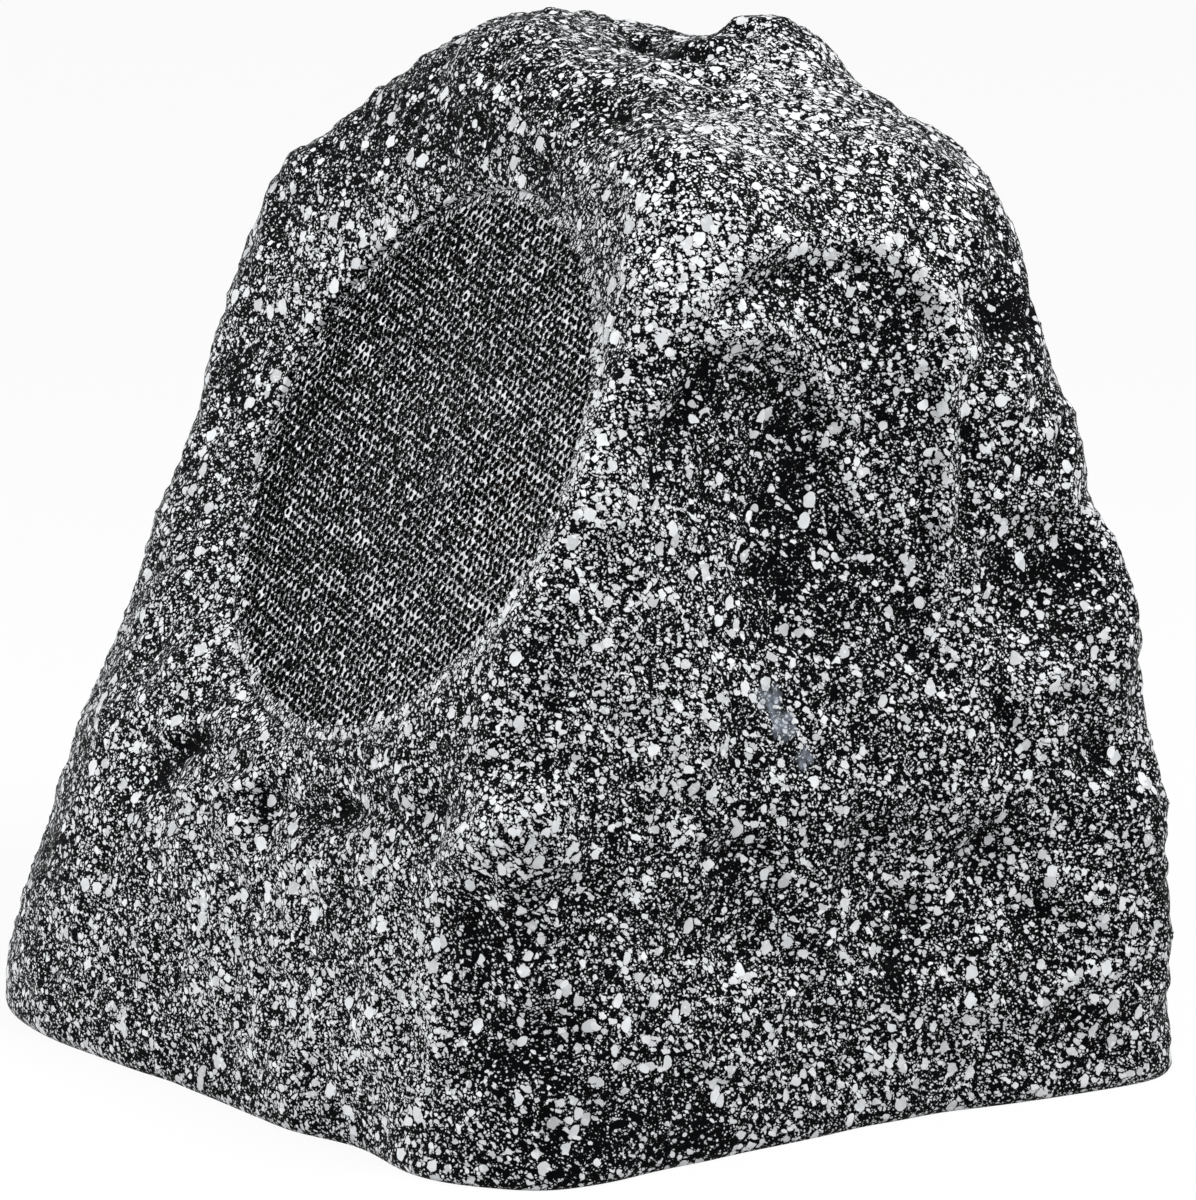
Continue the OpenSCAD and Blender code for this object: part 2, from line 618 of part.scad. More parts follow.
module base_plate() color("#1f2022") difference() {
    translate([0, 0, plate_low]) linear_extrude(base_t) polygon(foot_outline(plate_inset));
    each_base_screw() {
        disc(base_screw_d / 2 + screw_room, 0, plate_high + over);
        disc(base_head_r + screw_room, 0, plate_low + base_head_h + 2 * slip);
    }
}
module base_gasket() color("#2a2a2b") difference() {
    translate([0, 0, plate_high]) linear_extrude(base_gasket_t) difference() {
        polygon(foot_outline(plate_inset));
        polygon(foot_outline(plate_inset + base_gasket_w));
    }
    each_base_screw() disc(base_screw_d / 2 + screw_room, 0, shelf_low + over);
}
module base_screws() color("#8f9294") each_base_screw() difference() {
    union() {
        disc(base_screw_d / 2, plate_low, plate_low + base_screw_l);
        disc(base_head_r, plate_low, plate_low + base_head_h);
    }
    for (turn = [0, 90]) rotate([0, 0, turn])
        translate([-base_head_r / 2, -slot_w / 2, plate_low - over]) cube([base_head_r, slot_w, over + base_head_h / 2]);
}
module rubber_feet() color("#161617") for (u = foot_turns) let (p = foot_point(u, foot_inset))
    translate([p.x, p.y, 0]) cylinder(d1 = foot_d - foot_h / 2, d2 = foot_d, h = foot_h);

gland_neck_r = gland_d / 2 - gland_thread;
gland_bore_r = cable_d / 2 + seal_t;
seal_l = gland_cap_l * seal_share;
module gland_body() color("#1b1b1c") at_gland() difference() {
    union() {
        disc(gland_d / 2, -gland_web - gland_nut_t - gland_tail, gland_collar_t);
        cylinder(r = gland_collar_r, h = gland_collar_t, $fn = 6);
        disc(gland_neck_r, gland_collar_t - over, gland_collar_t + seal_l);
    }
    disc(gland_bore_r, -body_h / 10, gland_collar_t + gland_cap_l);
}
module gland_seal() color("#3a3a3c") at_gland()
    ring(gland_bore_r - slip, cable_d / 2, gland_collar_t, gland_collar_t + seal_l);
module gland_cap() color("#1b1b1c") at_gland() translate([0, 0, gland_collar_t]) rotate_extrude() polygon([
    [gland_neck_r + slip, 0], [gland_collar_r - cap_step, 0],
    [gland_collar_r - cap_step, gland_cap_l * cap_skirt_share], [gland_neck_r, gland_cap_l],
    [cable_d / 2 + cap_lip, gland_cap_l], [cable_d / 2 + cap_lip, seal_l], [gland_neck_r + slip, seal_l],
]);
module gland_nut() color("#1b1b1c") at_gland() difference() {
    translate([0, 0, -gland_web - gland_nut_t]) cylinder(r = gland_collar_r, h = gland_nut_t, $fn = 6);
    disc(gland_d / 2 + slip, -gland_web - gland_nut_t - over, -gland_web + over);
}

board_place_share = [0.04, 0.17];
board_low = plate_high + spacer_h;
board_high = board_low + board_t;
board_hole_d = 3.2;
board_edge = 6;
spacer_r = 4;
module at_board() translate([board_place_share.x * body_w, board_place_share.y * body_d, 0]) children();
module each_board_corner() for (x = [-1, 1], y = [-1, 1])
    translate([x * (board_l / 2 - board_edge), y * (board_w / 2 - board_edge), 0]) children();
module crossover_board() color("#2f5a36") at_board() difference() {
    translate([-board_l / 2, -board_w / 2, board_low]) cube([board_l, board_w, board_t]);
    each_board_corner() disc(board_hole_d / 2, board_low - over, board_high + over);
}
module board_spacers() color("#d8d8d4") at_board() each_board_corner()
    ring(spacer_r, board_hole_d / 2 - 2 * slip, plate_high, board_low);
module board_screws() color("#9a9c9e") at_board() each_board_corner() {
    disc(board_hole_d / 2 - 4 * slip, plate_high + slip, board_high);
    disc(board_hole_d * 0.9, board_high, board_high + board_hole_d / 2);
}
coil_core_r = coil_d * 0.2;
cheek_t = 2;
cheek_r = coil_d / 2 + cheek_t / 2;
module at_coil() at_board() translate([-board_l * 0.22, 0, board_high]) children();
module inductor_bobbin() color("#26282a") at_coil() difference() {
    rotate_extrude() polygon([
        [0, 0], [cheek_r, 0], [cheek_r, cheek_t], [coil_core_r, cheek_t],
        [coil_core_r, cheek_t + coil_h], [cheek_r, cheek_t + coil_h],
        [cheek_r, 2 * cheek_t + coil_h], [0, 2 * cheek_t + coil_h],
    ]);
    disc(coil_core_r / 2, -over, 2 * cheek_t + coil_h + over);
}
module inductor_winding() color("#b06a2c") at_coil() ring(coil_d / 2, coil_core_r, cheek_t, cheek_t + coil_h);
module capacitor() color("#2b3f8c") at_board() translate([board_l * 0.24, board_w * 0.24, board_high + cap_d / 2])
    rotate([0, 90, 0]) translate([0, 0, -cap_l / 2]) cylinder(d = cap_d, h = cap_l);
module resistor() color("#e6e4dc") at_board()
    translate([board_l * 0.24 - resistor_l / 2, -board_w * 0.02 - resistor_s / 2, board_high])
        cube([resistor_l, resistor_s, resistor_s]);
terminal_l = 22;
terminal_w = 10;
terminal_h = 12;
terminal_edge = 2;
module input_terminal() color("#2c6e3f") at_board()
    translate([board_l * 0.24 - terminal_l / 2, -board_w / 2 + terminal_edge, board_high]) difference() {
        cube([terminal_l, terminal_w, terminal_h]);
        for (i = [1, 3]) translate([i * terminal_l / 4, -over, terminal_h / 3]) rotate([-90, 0, 0])
            disc(terminal_h / 6, 0, terminal_w * 0.7);
    }

// Route of the two-core lead from the crossover board up to the driver's tags. Its middle as shares of the body, and half
// the distance between its cores as a share of that between the tags' middles.
lead_shares = [
    [-0.046, 0.075, 0.081, 0.22],
    [-0.046, 0.037, 0.093, 0.22],
    [-0.043, -0.011, 0.118, 0.22],
    [-0.035, -0.064, 0.157, 0.22],
    [-0.017, -0.118, 0.206, 0.22],
    [0.012, -0.171, 0.255, 0.22],
    [0.041, -0.209, 0.299, 0.27],
    [0.058, -0.214, 0.333, 0.67],
];
lead_start_share = [-0.046, 0.091, 0];
lead_rise = 6;
tag_run = 8;
tag_end_r = spider_r - shelf_w + basket_sheet + tag_gap + tag_w + tab_l;
tag_end_depth = tag_top - tag_t - tab_t / 2;
tag_down = [0, -sin(face_lean), -cos(face_lean)];
tag_end = face_middle + tag_end_depth * face_out + tag_end_r * tag_down;
function lead_point(p, share) = [p.x, p.y, p.z, share * tag_l / 4];
lead_points = concat(
    [for (rise = [0, lead_rise]) lead_point(in_body(lead_start_share) + [0, 0, board_high + rise], 0.36)],
    [for (s = lead_shares) lead_point(in_body(s), s[3])],
    [for (run = [tag_run, 0]) lead_point(tag_end + run * tag_down, 1)]);
lead_d = 2.4;
lead_sides = 8;
function core_point(i, side) = let (p = lead_points[i]) [p.x + side * p[3], p.y, p.z];
function core_way(i, side) =
    unit(core_point(min(i + 1, len(lead_points) - 1), side) - core_point(max(i - 1, 0), side));
function core_ring(i, side) =
    let (way = core_way(i, side), across = unit(cross(way, [1, 0, 0])), up = cross(across, way))
    [for (k = [0 : lead_sides - 1]) let (turn = 360 * k / lead_sides)
        core_point(i, side) + lead_d / 2 * (across * cos(turn) + up * sin(turn))];
module core(side) let (count = len(lead_points)) polyhedron(
    points = [for (i = [0 : count - 1]) each core_ring(i, side)],
    faces = concat(
        [[for (k = [lead_sides - 1 : -1 : 0]) k]],
        [for (i = [0 : count - 2], k = [0 : lead_sides - 1])
            let (a = i * lead_sides + k, b = i * lead_sides + (k + 1) % lead_sides)
            each [[a, b, b + lead_sides], [a, b + lead_sides, a + lead_sides]]],
        [[for (k = [0 : lead_sides - 1]) (count - 1) * lead_sides + k]]));
module woofer_lead() color("#b3261f") for (side = [-1, 1]) core(side);

// Felt that lines the back wall, on the same grid as the shell's inner face
mat_t = 14;
mat_gap = 0.3;
mat_first = 6;
mat_last = 17;
mat_low = 4;
mat_high = 11;
function mat_point(i, k, inset) = inner_point(360 * i / inner_around_count, k / inner_ring_count, inset);
module damping_mat() color("#8f8f8b")
    let (wide = mat_last - mat_first + 1, tall = mat_high - mat_low + 1, half = wide * tall)
    polyhedron(
        points = [for (inset = [mat_gap, mat_gap + mat_t], k = [mat_low : mat_high], i = [mat_first : mat_last])
            mat_point(i, k, inset)],
        faces = concat(
            [for (k = [0 : tall - 2], i = [0 : wide - 2], inner = [0, 1])
                let (a = inner * half + k * wide + i, b = a + 1, c = a + wide, d = c + 1)
                each inner == 0 ? [[a, c, d], [a, d, b]] : [[a, d, c], [a, b, d]]],
            [for (i = [0 : wide - 2]) each [
                [i, i + 1, half + i + 1], [i, half + i + 1, half + i],
                let (a = (tall - 1) * wide + i) [a, half + a + 1, a + 1],
                let (a = (tall - 1) * wide + i) [a, half + a, half + a + 1]]],
            [for (k = [0 : tall - 2]) let (a = k * wide, b = a + wide, c = a + wide - 1, d = b + wide - 1) each [
                [a, half + b, b], [a, half + a, half + b], [c, d, half + d], [c, half + d, half + c]]]));

rock_shell();
grille();
grille_gasket();
woofer_basket();
woofer_gasket();
woofer_screws();
woofer_surround();
trim_ring();
woofer_cone();
voice_coil_former();
voice_coil_winding();
spider();
top_plate();
magnet();
back_plate();
tweeter_post();
tweeter_cup();
tweeter_magnet();
tweeter_dome();
tweeter_bezel();
tag_board();
tag_tabs();
base_plate();
base_gasket();
base_screws();
rubber_feet();
gland_body();
gland_seal();
gland_cap();
gland_nut();
crossover_board();
board_spacers();
board_screws();
inductor_bobbin();
inductor_winding();
capacitor();
resistor();
input_terminal();
woofer_lead();
damping_mat();
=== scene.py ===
# %% [markdown]
# # A rock shaped garden speaker
#
# The object is a loudspeaker that hides in a flower bed. Its housing is a hollow boulder of moulded resin stone, and a
# round perforated grille sits in its leaning face. Both are sprayed with the same near-black coat and pale grey flecks.
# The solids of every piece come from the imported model. This lesson replaces two of them, the stone and the grille, with
# finer ones, gives every piece its finish, and sets up the camera and the light.

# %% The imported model
import bpy, bmesh, math
from mathutils import Matrix, Vector, noise
from mathutils.geometry import delaunay_2d_cdt
from mathutils.bvhtree import BVHTree
from mathutils.kdtree import KDTree


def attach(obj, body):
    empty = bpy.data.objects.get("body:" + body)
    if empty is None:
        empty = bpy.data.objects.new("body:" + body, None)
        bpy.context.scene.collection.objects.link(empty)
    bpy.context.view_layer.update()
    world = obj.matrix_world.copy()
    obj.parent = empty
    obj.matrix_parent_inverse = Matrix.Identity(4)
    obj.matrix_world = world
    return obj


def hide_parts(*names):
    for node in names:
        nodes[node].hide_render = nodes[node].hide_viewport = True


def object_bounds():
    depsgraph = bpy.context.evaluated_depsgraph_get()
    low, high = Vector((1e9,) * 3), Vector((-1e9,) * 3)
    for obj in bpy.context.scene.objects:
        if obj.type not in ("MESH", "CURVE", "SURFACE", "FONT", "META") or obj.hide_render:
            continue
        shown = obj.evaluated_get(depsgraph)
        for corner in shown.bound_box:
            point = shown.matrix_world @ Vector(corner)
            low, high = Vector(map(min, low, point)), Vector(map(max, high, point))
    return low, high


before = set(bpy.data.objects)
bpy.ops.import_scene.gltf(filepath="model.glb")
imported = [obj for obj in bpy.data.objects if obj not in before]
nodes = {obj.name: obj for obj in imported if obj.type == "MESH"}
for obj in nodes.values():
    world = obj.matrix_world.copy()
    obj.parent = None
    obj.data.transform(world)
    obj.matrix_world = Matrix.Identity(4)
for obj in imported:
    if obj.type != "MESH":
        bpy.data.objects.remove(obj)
cad_box = [list(corner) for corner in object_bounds()]
print("pieces in the packed model:", len(nodes))

# %% [markdown]
# ## Camera
#
# The photograph looks at the speaker from its right and a little from above, through a long lens, so the upright edges
# hardly lean together. A camera 2.46 m away, with a lens of 188 mm on a 36 mm sensor, gives that view. It is placed by
# its angle round the object, the way a tripod is walked round a table.

# %% Camera
MM = 0.001
CAMERA_DISTANCE = 2.46  # metres
CAMERA_AZIMUTH, CAMERA_ELEVATION = 60, 14  # degrees
LENS, SENSOR = 187.8, 36  # millimetres

def from_angles(azimuth, elevation):
    """The direction from the object towards something that stands at this angle round it and this angle above it."""
    a, e = math.radians(azimuth), math.radians(elevation)
    return Vector((math.sin(a) * math.cos(e), -math.cos(a) * math.cos(e), math.sin(e)))

aim = Vector((25, 1, 184.5)) * MM
camera = bpy.data.objects.new("camera", bpy.data.cameras.new("camera"))
bpy.context.scene.collection.objects.link(camera)
camera.data.sensor_width = SENSOR
camera.data.lens = LENS
camera.location = aim + CAMERA_DISTANCE * from_angles(CAMERA_AZIMUTH, CAMERA_ELEVATION)
camera.rotation_mode = "QUATERNION"
camera.rotation_quaternion = (aim - camera.location).to_track_quat("-Z", "Y")
bpy.context.scene.camera = camera
bpy.context.scene.view_settings.view_transform = "Standard"
print("camera stands at", [round(x, 3) for x in camera.location])

# %% [markdown]
# ## Colours and nodes
#
# A colour is easiest to pick as the hex value that a paint program shows. A shader works with linear light, so one
# function turns the first into the second. Materials are small networks of nodes. One function adds a node, sets what
# it is told to set, and links the sockets that are given to it.

# %% Colours and nodes
def colour(hex_value):
    """The linear colour of an sRGB hex value."""
    parts = [int(hex_value[i:i + 2], 16) / 255 for i in (1, 3, 5)]
    return (*[c / 12.92 if c <= 0.04045 else ((c + 0.055) / 1.055) ** 2.4 for c in parts], 1)

def add(tree, kind, sockets=None, **settings):
    """A new node with its settings. A socket is given a value, or another node's output to link it to."""
    node = tree.nodes.new(kind)
    for name, value in settings.items():
        setattr(node, name, value)
    for name, value in (sockets or {}).items():
        if isinstance(value, bpy.types.NodeSocket):
            tree.links.new(value, node.inputs[name])
        else:
            node.inputs[name].default_value = value
    return node

def new_finish(name):
    """An empty material with its node tree and its main shader."""
    material = bpy.data.materials.new(name)
    material.use_nodes = True
    return material, material.node_tree, material.node_tree.nodes["Principled BSDF"]

print("a middle grey of #808080 is", round(colour("#808080")[0], 3), "in linear light")

# %% [markdown]
# ## Floor and background
#
# The photograph has a pure white background. The floor is a wide sheet that the camera sees as almost white, and a
# part of it is still an ordinary matt surface, so the shadow stays. Other rays see a plain pale grey sheet, so it adds
# no glare to the object. The world works the same way: white for the camera, a soft grey room for the light.

# %% Floor and background
FLOOR_HALF_WIDTH = 6  # metres
PAPER_WHITE = 0.93  # how much of the floor is plain white to the camera; the rest shows the shadow
ROOM_LIGHT = 0.44

def seen_directly(tree):
    """1 for a ray from the camera, also by way of a mirror or through glass, and 0 for the light between surfaces."""
    path = add(tree, "ShaderNodeLightPath").outputs
    bounced = add(tree, "ShaderNodeMath", {0: path["Is Glossy Ray"], 1: path["Is Transmission Ray"]},
                  operation="MAXIMUM").outputs[0]
    return add(tree, "ShaderNodeMath", {0: path["Is Camera Ray"], 1: bounced}, operation="MAXIMUM").outputs[0]

floor = bpy.data.objects.new("floor", bpy.data.meshes.new("floor"))
bpy.context.scene.collection.objects.link(floor)
bm = bmesh.new()
bmesh.ops.create_grid(bm, x_segments=1, y_segments=1, size=FLOOR_HALF_WIDTH)
bm.to_mesh(floor.data)
bm.free()

# Uncoated studio paper: it has no shine, so it takes a soft shadow and shows no reflection.
sheet_finish, tree, shader = new_finish("white_paper_floor")
shader.inputs["Base Color"].default_value = colour("#E8E8E8")
shader.inputs["Roughness"].default_value = 0.9
shader.inputs["Specular IOR Level"].default_value = 0.1
white = add(tree, "ShaderNodeEmission", {"Color": colour("#FFFFFF"), "Strength": 1.0})
share = add(tree, "ShaderNodeMath", {0: seen_directly(tree), 1: PAPER_WHITE}, operation="MULTIPLY")
both = add(tree, "ShaderNodeMixShader", {0: share.outputs[0], 1: shader.outputs[0], 2: white.outputs[0]})
tree.links.new(both.outputs[0], tree.nodes["Material Output"].inputs["Surface"])
floor.data.materials.append(sheet_finish)

world = bpy.data.worlds.new("studio")
bpy.context.scene.world = world
world.use_nodes = True
tree = world.node_tree
room = add(tree, "ShaderNodeBackground", {"Color": colour("#C9CDD2"), "Strength": ROOM_LIGHT})
paper = add(tree, "ShaderNodeBackground", {"Color": colour("#FFFFFF"), "Strength": 1.0})
both = add(tree, "ShaderNodeMixShader", {0: seen_directly(tree), 1: room.outputs[0], 2: paper.outputs[0]})
tree.links.new(both.outputs[0], tree.nodes["World Output"].inputs["Surface"])
print("the floor is", 2 * FLOOR_HALF_WIDTH, "m wide")

# %% [markdown]
# ## Light
#
# The key light is a large soft one high on the right and behind the stone. It brightens the top and the right shoulder.
# A weaker one from the front left keeps the face readable.

# %% Lamps
def soft_lamp(name, azimuth, elevation, distance, width, watts):
    """A square lamp that looks at the object from this angle."""
    lamp = bpy.data.objects.new(name, bpy.data.lights.new(name, "AREA"))
    bpy.context.scene.collection.objects.link(lamp)
    lamp.data.energy, lamp.data.size = watts, width
    lamp.location = aim + distance * from_angles(azimuth, elevation)
    lamp.rotation_mode = "QUATERNION"
    lamp.rotation_quaternion = (aim - lamp.location).to_track_quat("-Z", "Y")
    return lamp

lamps = [
    soft_lamp("key_lamp", azimuth=115, elevation=58, distance=1.8, width=0.7, watts=37),
    soft_lamp("fill_lamp", azimuth=-15, elevation=20, distance=2.4, width=1.4, watts=42),
]
print("lamps at", [[round(x, 2) for x in lamp.location] for lamp in lamps])

# %% [markdown]
# ## The speckled stone coat
#
# The shell is cast polyester resin with stone powder, and its coat is a satin near-black paint with pale grey paint
# spattered over it, from a dense mist of dots under a millimetre to a few splashes of four to six. The drops are drawn
# in five layers, from fine to coarse. Each is one Voronoi pattern, where every cell holds one drop whose size varies,
# and a noise bends the coordinates so that the drops are not round. The coarser layers are also turned and stretched,
# because wet paint runs a little before it dries. The mist is drawn a little coarser than it is, or the picture could
# not show it. The mesh carries a value, painted further on, that says how thickly the coat was hit at each place: pits
# and hollows got less, ledges and ridges got more. The same value also holds painted light and shade: the drops grow
# where the stone should look lit and shrink where it should look shaded.

# %% The layers of the spatter
FLECKS = (
    # distance between drops in mm, their mean radius as a share of it, the spread of that radius,
    # how much the spray, with the light and shade painted into it, changes it, the stretch along x, y and z,
    # and the turn about x in degrees
    (1.05, 0.21, 0.44, 0.32, (1, 1, 1), 0),
    (1.5, 0.21, 0.46, 0.32, (1, 0.8, 1), 30),
    (2.4, 0.19, 0.58, 0.26, (1, 0.66, 1), 30),
    (3.7, 0.14, 0.62, 0.16, (1, 0.66, 1), 35),
    (6.0, 0.10, 0.62, 0.08, (0.8, 1, 0.75), 20),
)
DROP_EDGE = 0.08  # mm over which a drop's rim runs out
THINNEST_DROP = 0.66  # the share of pale paint in the thinnest drops

def spatter(tree, bent, fleck_size):
    """How much pale paint lies at each place, from 0 to 1."""
    spray_with_painted_light = add(tree, "ShaderNodeAttribute", attribute_name="spray_with_painted_light").outputs["Fac"]
    cover = None
    for gap, radius, spread, effect, stretch, tilt in FLECKS:
        tilted = add(tree, "ShaderNodeVectorRotate", {"Vector": bent, "Angle": math.radians(tilt)},
                     rotation_type="X_AXIS").outputs[0]
        drawn = add(tree, "ShaderNodeVectorMath", {0: tilted, 1: stretch}, operation="MULTIPLY").outputs[0]
        cells = add(tree, "ShaderNodeTexVoronoi", {"Vector": drawn, "Scale": 1 / (gap * MM * fleck_size)})
        random = add(tree, "ShaderNodeSeparateColor", {0: cells.outputs["Color"]}).outputs
        size = add(tree, "ShaderNodeMath", {0: random[0], 1: spread, 2: radius - spread * 0.5},
                   operation="MULTIPLY_ADD").outputs[0]
        growth = add(tree, "ShaderNodeMath", {0: spray_with_painted_light, 1: effect, 2: -0.5 * effect},
                     operation="MULTIPLY_ADD").outputs[0]
        edge = add(tree, "ShaderNodeMath", {0: size, 1: growth}, operation="ADD").outputs[0]
        inside = add(tree, "ShaderNodeMath", {0: edge, 1: cells.outputs["Distance"]}, operation="SUBTRACT").outputs[0]
        thick = add(tree, "ShaderNodeMapRange", {"Value": random[1], "To Min": THINNEST_DROP}).outputs[0]
        soft = DROP_EDGE / gap
        drop = add(tree, "ShaderNodeMapRange",
                   {"Value": inside, "From Min": -soft, "From Max": soft, "To Max": thick}).outputs[0]
        if cover is None:
            cover = drop
        else:
            cover = add(tree, "ShaderNodeMath", {0: cover, 1: drop}, operation="MAXIMUM").outputs[0]
    return cover

print("layers of the spatter:", len(FLECKS))

# %% [markdown]
# ### The scuff
#
# Something once rubbed against the right side and left a pale grey smear. It is three round blots that run into each
# other, and a fine noise breaks them up into streaks. It lies over the flecks, because it came after them.

# %% The scuff
SCUFF_BLOTS = (  # x, y, z and reach in mm
    (149.7, 3.0, 172.4, 11),
    (152.1, 7.8, 162.5, 11),
    (155.5, 15.6, 149.3, 8),
)
SCUFF_TONE, SCUFF_STREAK = "#858C98", 3 * MM

def scuffed(tree, place, paint):
    """The paint with the grey smear over it."""
    smear = None
    for x, y, z, reach in SCUFF_BLOTS:
        reach *= MM
        gap = add(tree, "ShaderNodeVectorMath", {0: place, 1: Vector((x, y, z)) * MM}, operation="DISTANCE")
        blot = add(tree, "ShaderNodeMapRange",
                   {"Value": gap.outputs["Value"], "From Min": reach, "From Max": 0.3 * reach}).outputs[0]
        if smear is None:
            smear = blot
        else:
            smear = add(tree, "ShaderNodeMath", {0: smear, 1: blot}, operation="MAXIMUM").outputs[0]
    streak = add(tree, "ShaderNodeTexNoise", {"Vector": place, "Scale": 1 / SCUFF_STREAK, "Detail": 3.0}).outputs["Fac"]
    rubbed = add(tree, "ShaderNodeMath", {0: smear, 1: streak}, operation="MULTIPLY").outputs[0]
    worn = add(tree, "ShaderNodeMapRange",
               {"Value": rubbed, "From Min": 0.3, "From Max": 0.6, "To Max": 0.75}).outputs[0]
    return add(tree, "ShaderNodeMix", {"Factor": worn, 6: paint, 7: colour(SCUFF_TONE)}, data_type="RGBA").outputs[2]

print("blots of the scuff:", len(SCUFF_BLOTS))

# %% [markdown]
# ### The coat as a whole
#
# The dark paint is satin and the pale drops are matt and chalky, so the roughness follows the drops. Paint over stone
# powder has next to no mirror shine, so the specular level is very low: the black stays black under the lamps. A fine
# bump stands for the powder's grit. The grille got the same coat, with slightly smaller drops on the thin steel.

# %% The speckled coat
DARK, PALE = ("#020203", "#08090A"), ("#CBCDCF", "#E9EAEB")
BEND_SIZE, BEND_REACH = 3.2 * MM, 2.6 * MM  # the noise that bends the drops: its own size, and how far it pulls them
GRIT_SIZE, GRIT_DEPTH = 1.1 * MM, 0.35 * MM

def speckled_coat(name, fleck_size=1.0, has_scuff=False):
    """Near-black satin paint under pale matt drops: a hard contrast of grey specks on black, without any gleam."""
    material, tree, shader = new_finish(name)
    place = add(tree, "ShaderNodeTexCoord").outputs["Object"]
    bend = add(tree, "ShaderNodeTexNoise", {"Vector": place, "Scale": 1 / (BEND_SIZE * fleck_size), "Detail": 1.0})
    pull = add(tree, "ShaderNodeVectorMath", {0: bend.outputs["Color"], 1: (0.5, 0.5, 0.5)}, operation="SUBTRACT")
    pull = add(tree, "ShaderNodeVectorMath", {0: pull.outputs[0], "Scale": BEND_REACH * fleck_size}, operation="SCALE")
    bent = add(tree, "ShaderNodeVectorMath", {0: place, 1: pull.outputs[0]}, operation="ADD").outputs[0]
    cover = spatter(tree, bent, fleck_size)
    tones = []
    for one, other in (DARK, PALE):
        tones.append(add(tree, "ShaderNodeMix", {"Factor": bend.outputs["Fac"], 6: colour(one), 7: colour(other)},
                         data_type="RGBA").outputs[2])
    paint = add(tree, "ShaderNodeMix", {"Factor": cover, 6: tones[0], 7: tones[1]}, data_type="RGBA").outputs[2]
    if has_scuff:
        paint = scuffed(tree, place, paint)
    tree.links.new(paint, shader.inputs["Base Color"])
    rough = add(tree, "ShaderNodeMapRange", {"Value": cover, "To Min": 0.55, "To Max": 0.7}).outputs[0]
    tree.links.new(rough, shader.inputs["Roughness"])
    shader.inputs["Specular IOR Level"].default_value = 0.02
    grit = add(tree, "ShaderNodeTexNoise", {"Vector": place, "Scale": 1 / GRIT_SIZE, "Detail": 2.0}).outputs["Fac"]
    bump = add(tree, "ShaderNodeBump", {"Height": grit, "Strength": 0.5, "Distance": GRIT_DEPTH})
    tree.links.new(bump.outputs[0], shader.inputs["Normal"])
    return material

stone_coat = speckled_coat("sprayed_resin_stone", has_scuff=True)
grille_coat = speckled_coat("sprayed_perforated_steel", fleck_size=0.85)
print("speckled coats:", stone_coat.name, grille_coat.name)

# %% [markdown]
# ### Inside the holes and inside the shell
#
# The spray comes from the front, so the walls of the grille's holes keep the dark first coat, and the holes read black.
# The inside of the shell is left as it came from the mould: raw grey resin with a fibrous, uneven skin.

# %% The coats without flecks
hole_coat, tree, shader = new_finish("dark_first_coat")  # thin black paint: no specks, hardly any shine
place = add(tree, "ShaderNodeTexCoord").outputs["Object"]
grain = add(tree, "ShaderNodeTexNoise", {"Vector": place, "Scale": 1 / (0.6 * MM), "Detail": 2.0}).outputs["Fac"]
tone = add(tree, "ShaderNodeMix", {"Factor": grain, 6: colour(DARK[0]), 7: colour(DARK[1])}, data_type="RGBA")
tree.links.new(tone.outputs[2], shader.inputs["Base Color"])
shader.inputs["Roughness"].default_value = 0.6
shader.inputs["Specular IOR Level"].default_value = 0.05

raw_resin, tree, shader = new_finish("raw_resin_inside")  # cast against air: dull dark grey, with fibres that show
place = add(tree, "ShaderNodeTexCoord").outputs["Object"]
fibre = add(tree, "ShaderNodeTexNoise", {"Vector": place, "Scale": 1 / (6 * MM), "Detail": 5.0}).outputs["Fac"]
tone = add(tree, "ShaderNodeMix", {"Factor": fibre, 6: colour("#202225"), 7: colour("#2E3134")}, data_type="RGBA")
tree.links.new(tone.outputs[2], shader.inputs["Base Color"])
shader.inputs["Roughness"].default_value = 0.7
bump = add(tree, "ShaderNodeBump", {"Height": fibre, "Strength": 0.6, "Distance": 1 * MM})
tree.links.new(bump.outputs[0], shader.inputs["Normal"])
print("finishes so far:", [m.name for m in bpy.data.materials])

# %% [markdown]
# ## The stone
#
# The solid of the shell has the boulder's facets, lumps and hollows, but its faces are about a centimetre wide. The
# real casting keeps the chips and pits of the stone that its mould was taken from. So a copy of the shell is merged
# into one closed mesh, its outside is divided into finer faces and smoothed, and then its points are moved along their
# normals, as a sculptor's brush would. The seat of the grille, the inside and the pad of the cable gland keep their
# exact form, because other pieces touch them.
#
# The outside is found by spreading from the top face over every edge that is not sharp. The seat's wall stands at a
# sharp angle to it, so the spreading stops there.

# %% Finding the stone's outside
LEAN = 28  # degrees by which the grille's face leans back
face_middle = Vector((21.045, -78.914, 248.064)) * MM  # of the grille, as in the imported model
face_out = Vector((0, -math.cos(math.radians(LEAN)), math.sin(math.radians(LEAN))))
recess_radius = 113.75 * MM
INSIDE, OUTSIDE, SEAT = 0, 1, 2  # marks on the faces, kept as their material index until the end

stone = bpy.data.objects.new("stone", nodes["rock_shell"].data.copy())
bpy.context.scene.collection.objects.link(stone)
bm = bmesh.new()
bm.from_mesh(stone.data)
bmesh.ops.remove_doubles(bm, verts=bm.verts, dist=0.002 * MM)
spray_with_painted_light = bm.verts.layers.float.new("spray_with_painted_light")
for face in bm.faces:
    face.material_index = INSIDE

def spread_from(face, widest):
    """Every face that is reached from this one without crossing an edge sharper than the widest angle."""
    found, waiting = {face}, [face]
    while waiting:
        for edge in waiting.pop().edges:
            if len(edge.link_faces) == 2 and edge.calc_face_angle() < widest:
                for other in edge.link_faces:
                    if other not in found:
                        found.add(other)
                        waiting.append(other)
    return found

top_face = max(bm.faces, key=lambda f: f.calc_center_median().z + (1 if f.normal.z > 0.2 else 0))
outside = spread_from(top_face, math.radians(52))
for face in outside:
    face.material_index = OUTSIDE
print("faces on the outside before dividing:", len(outside))

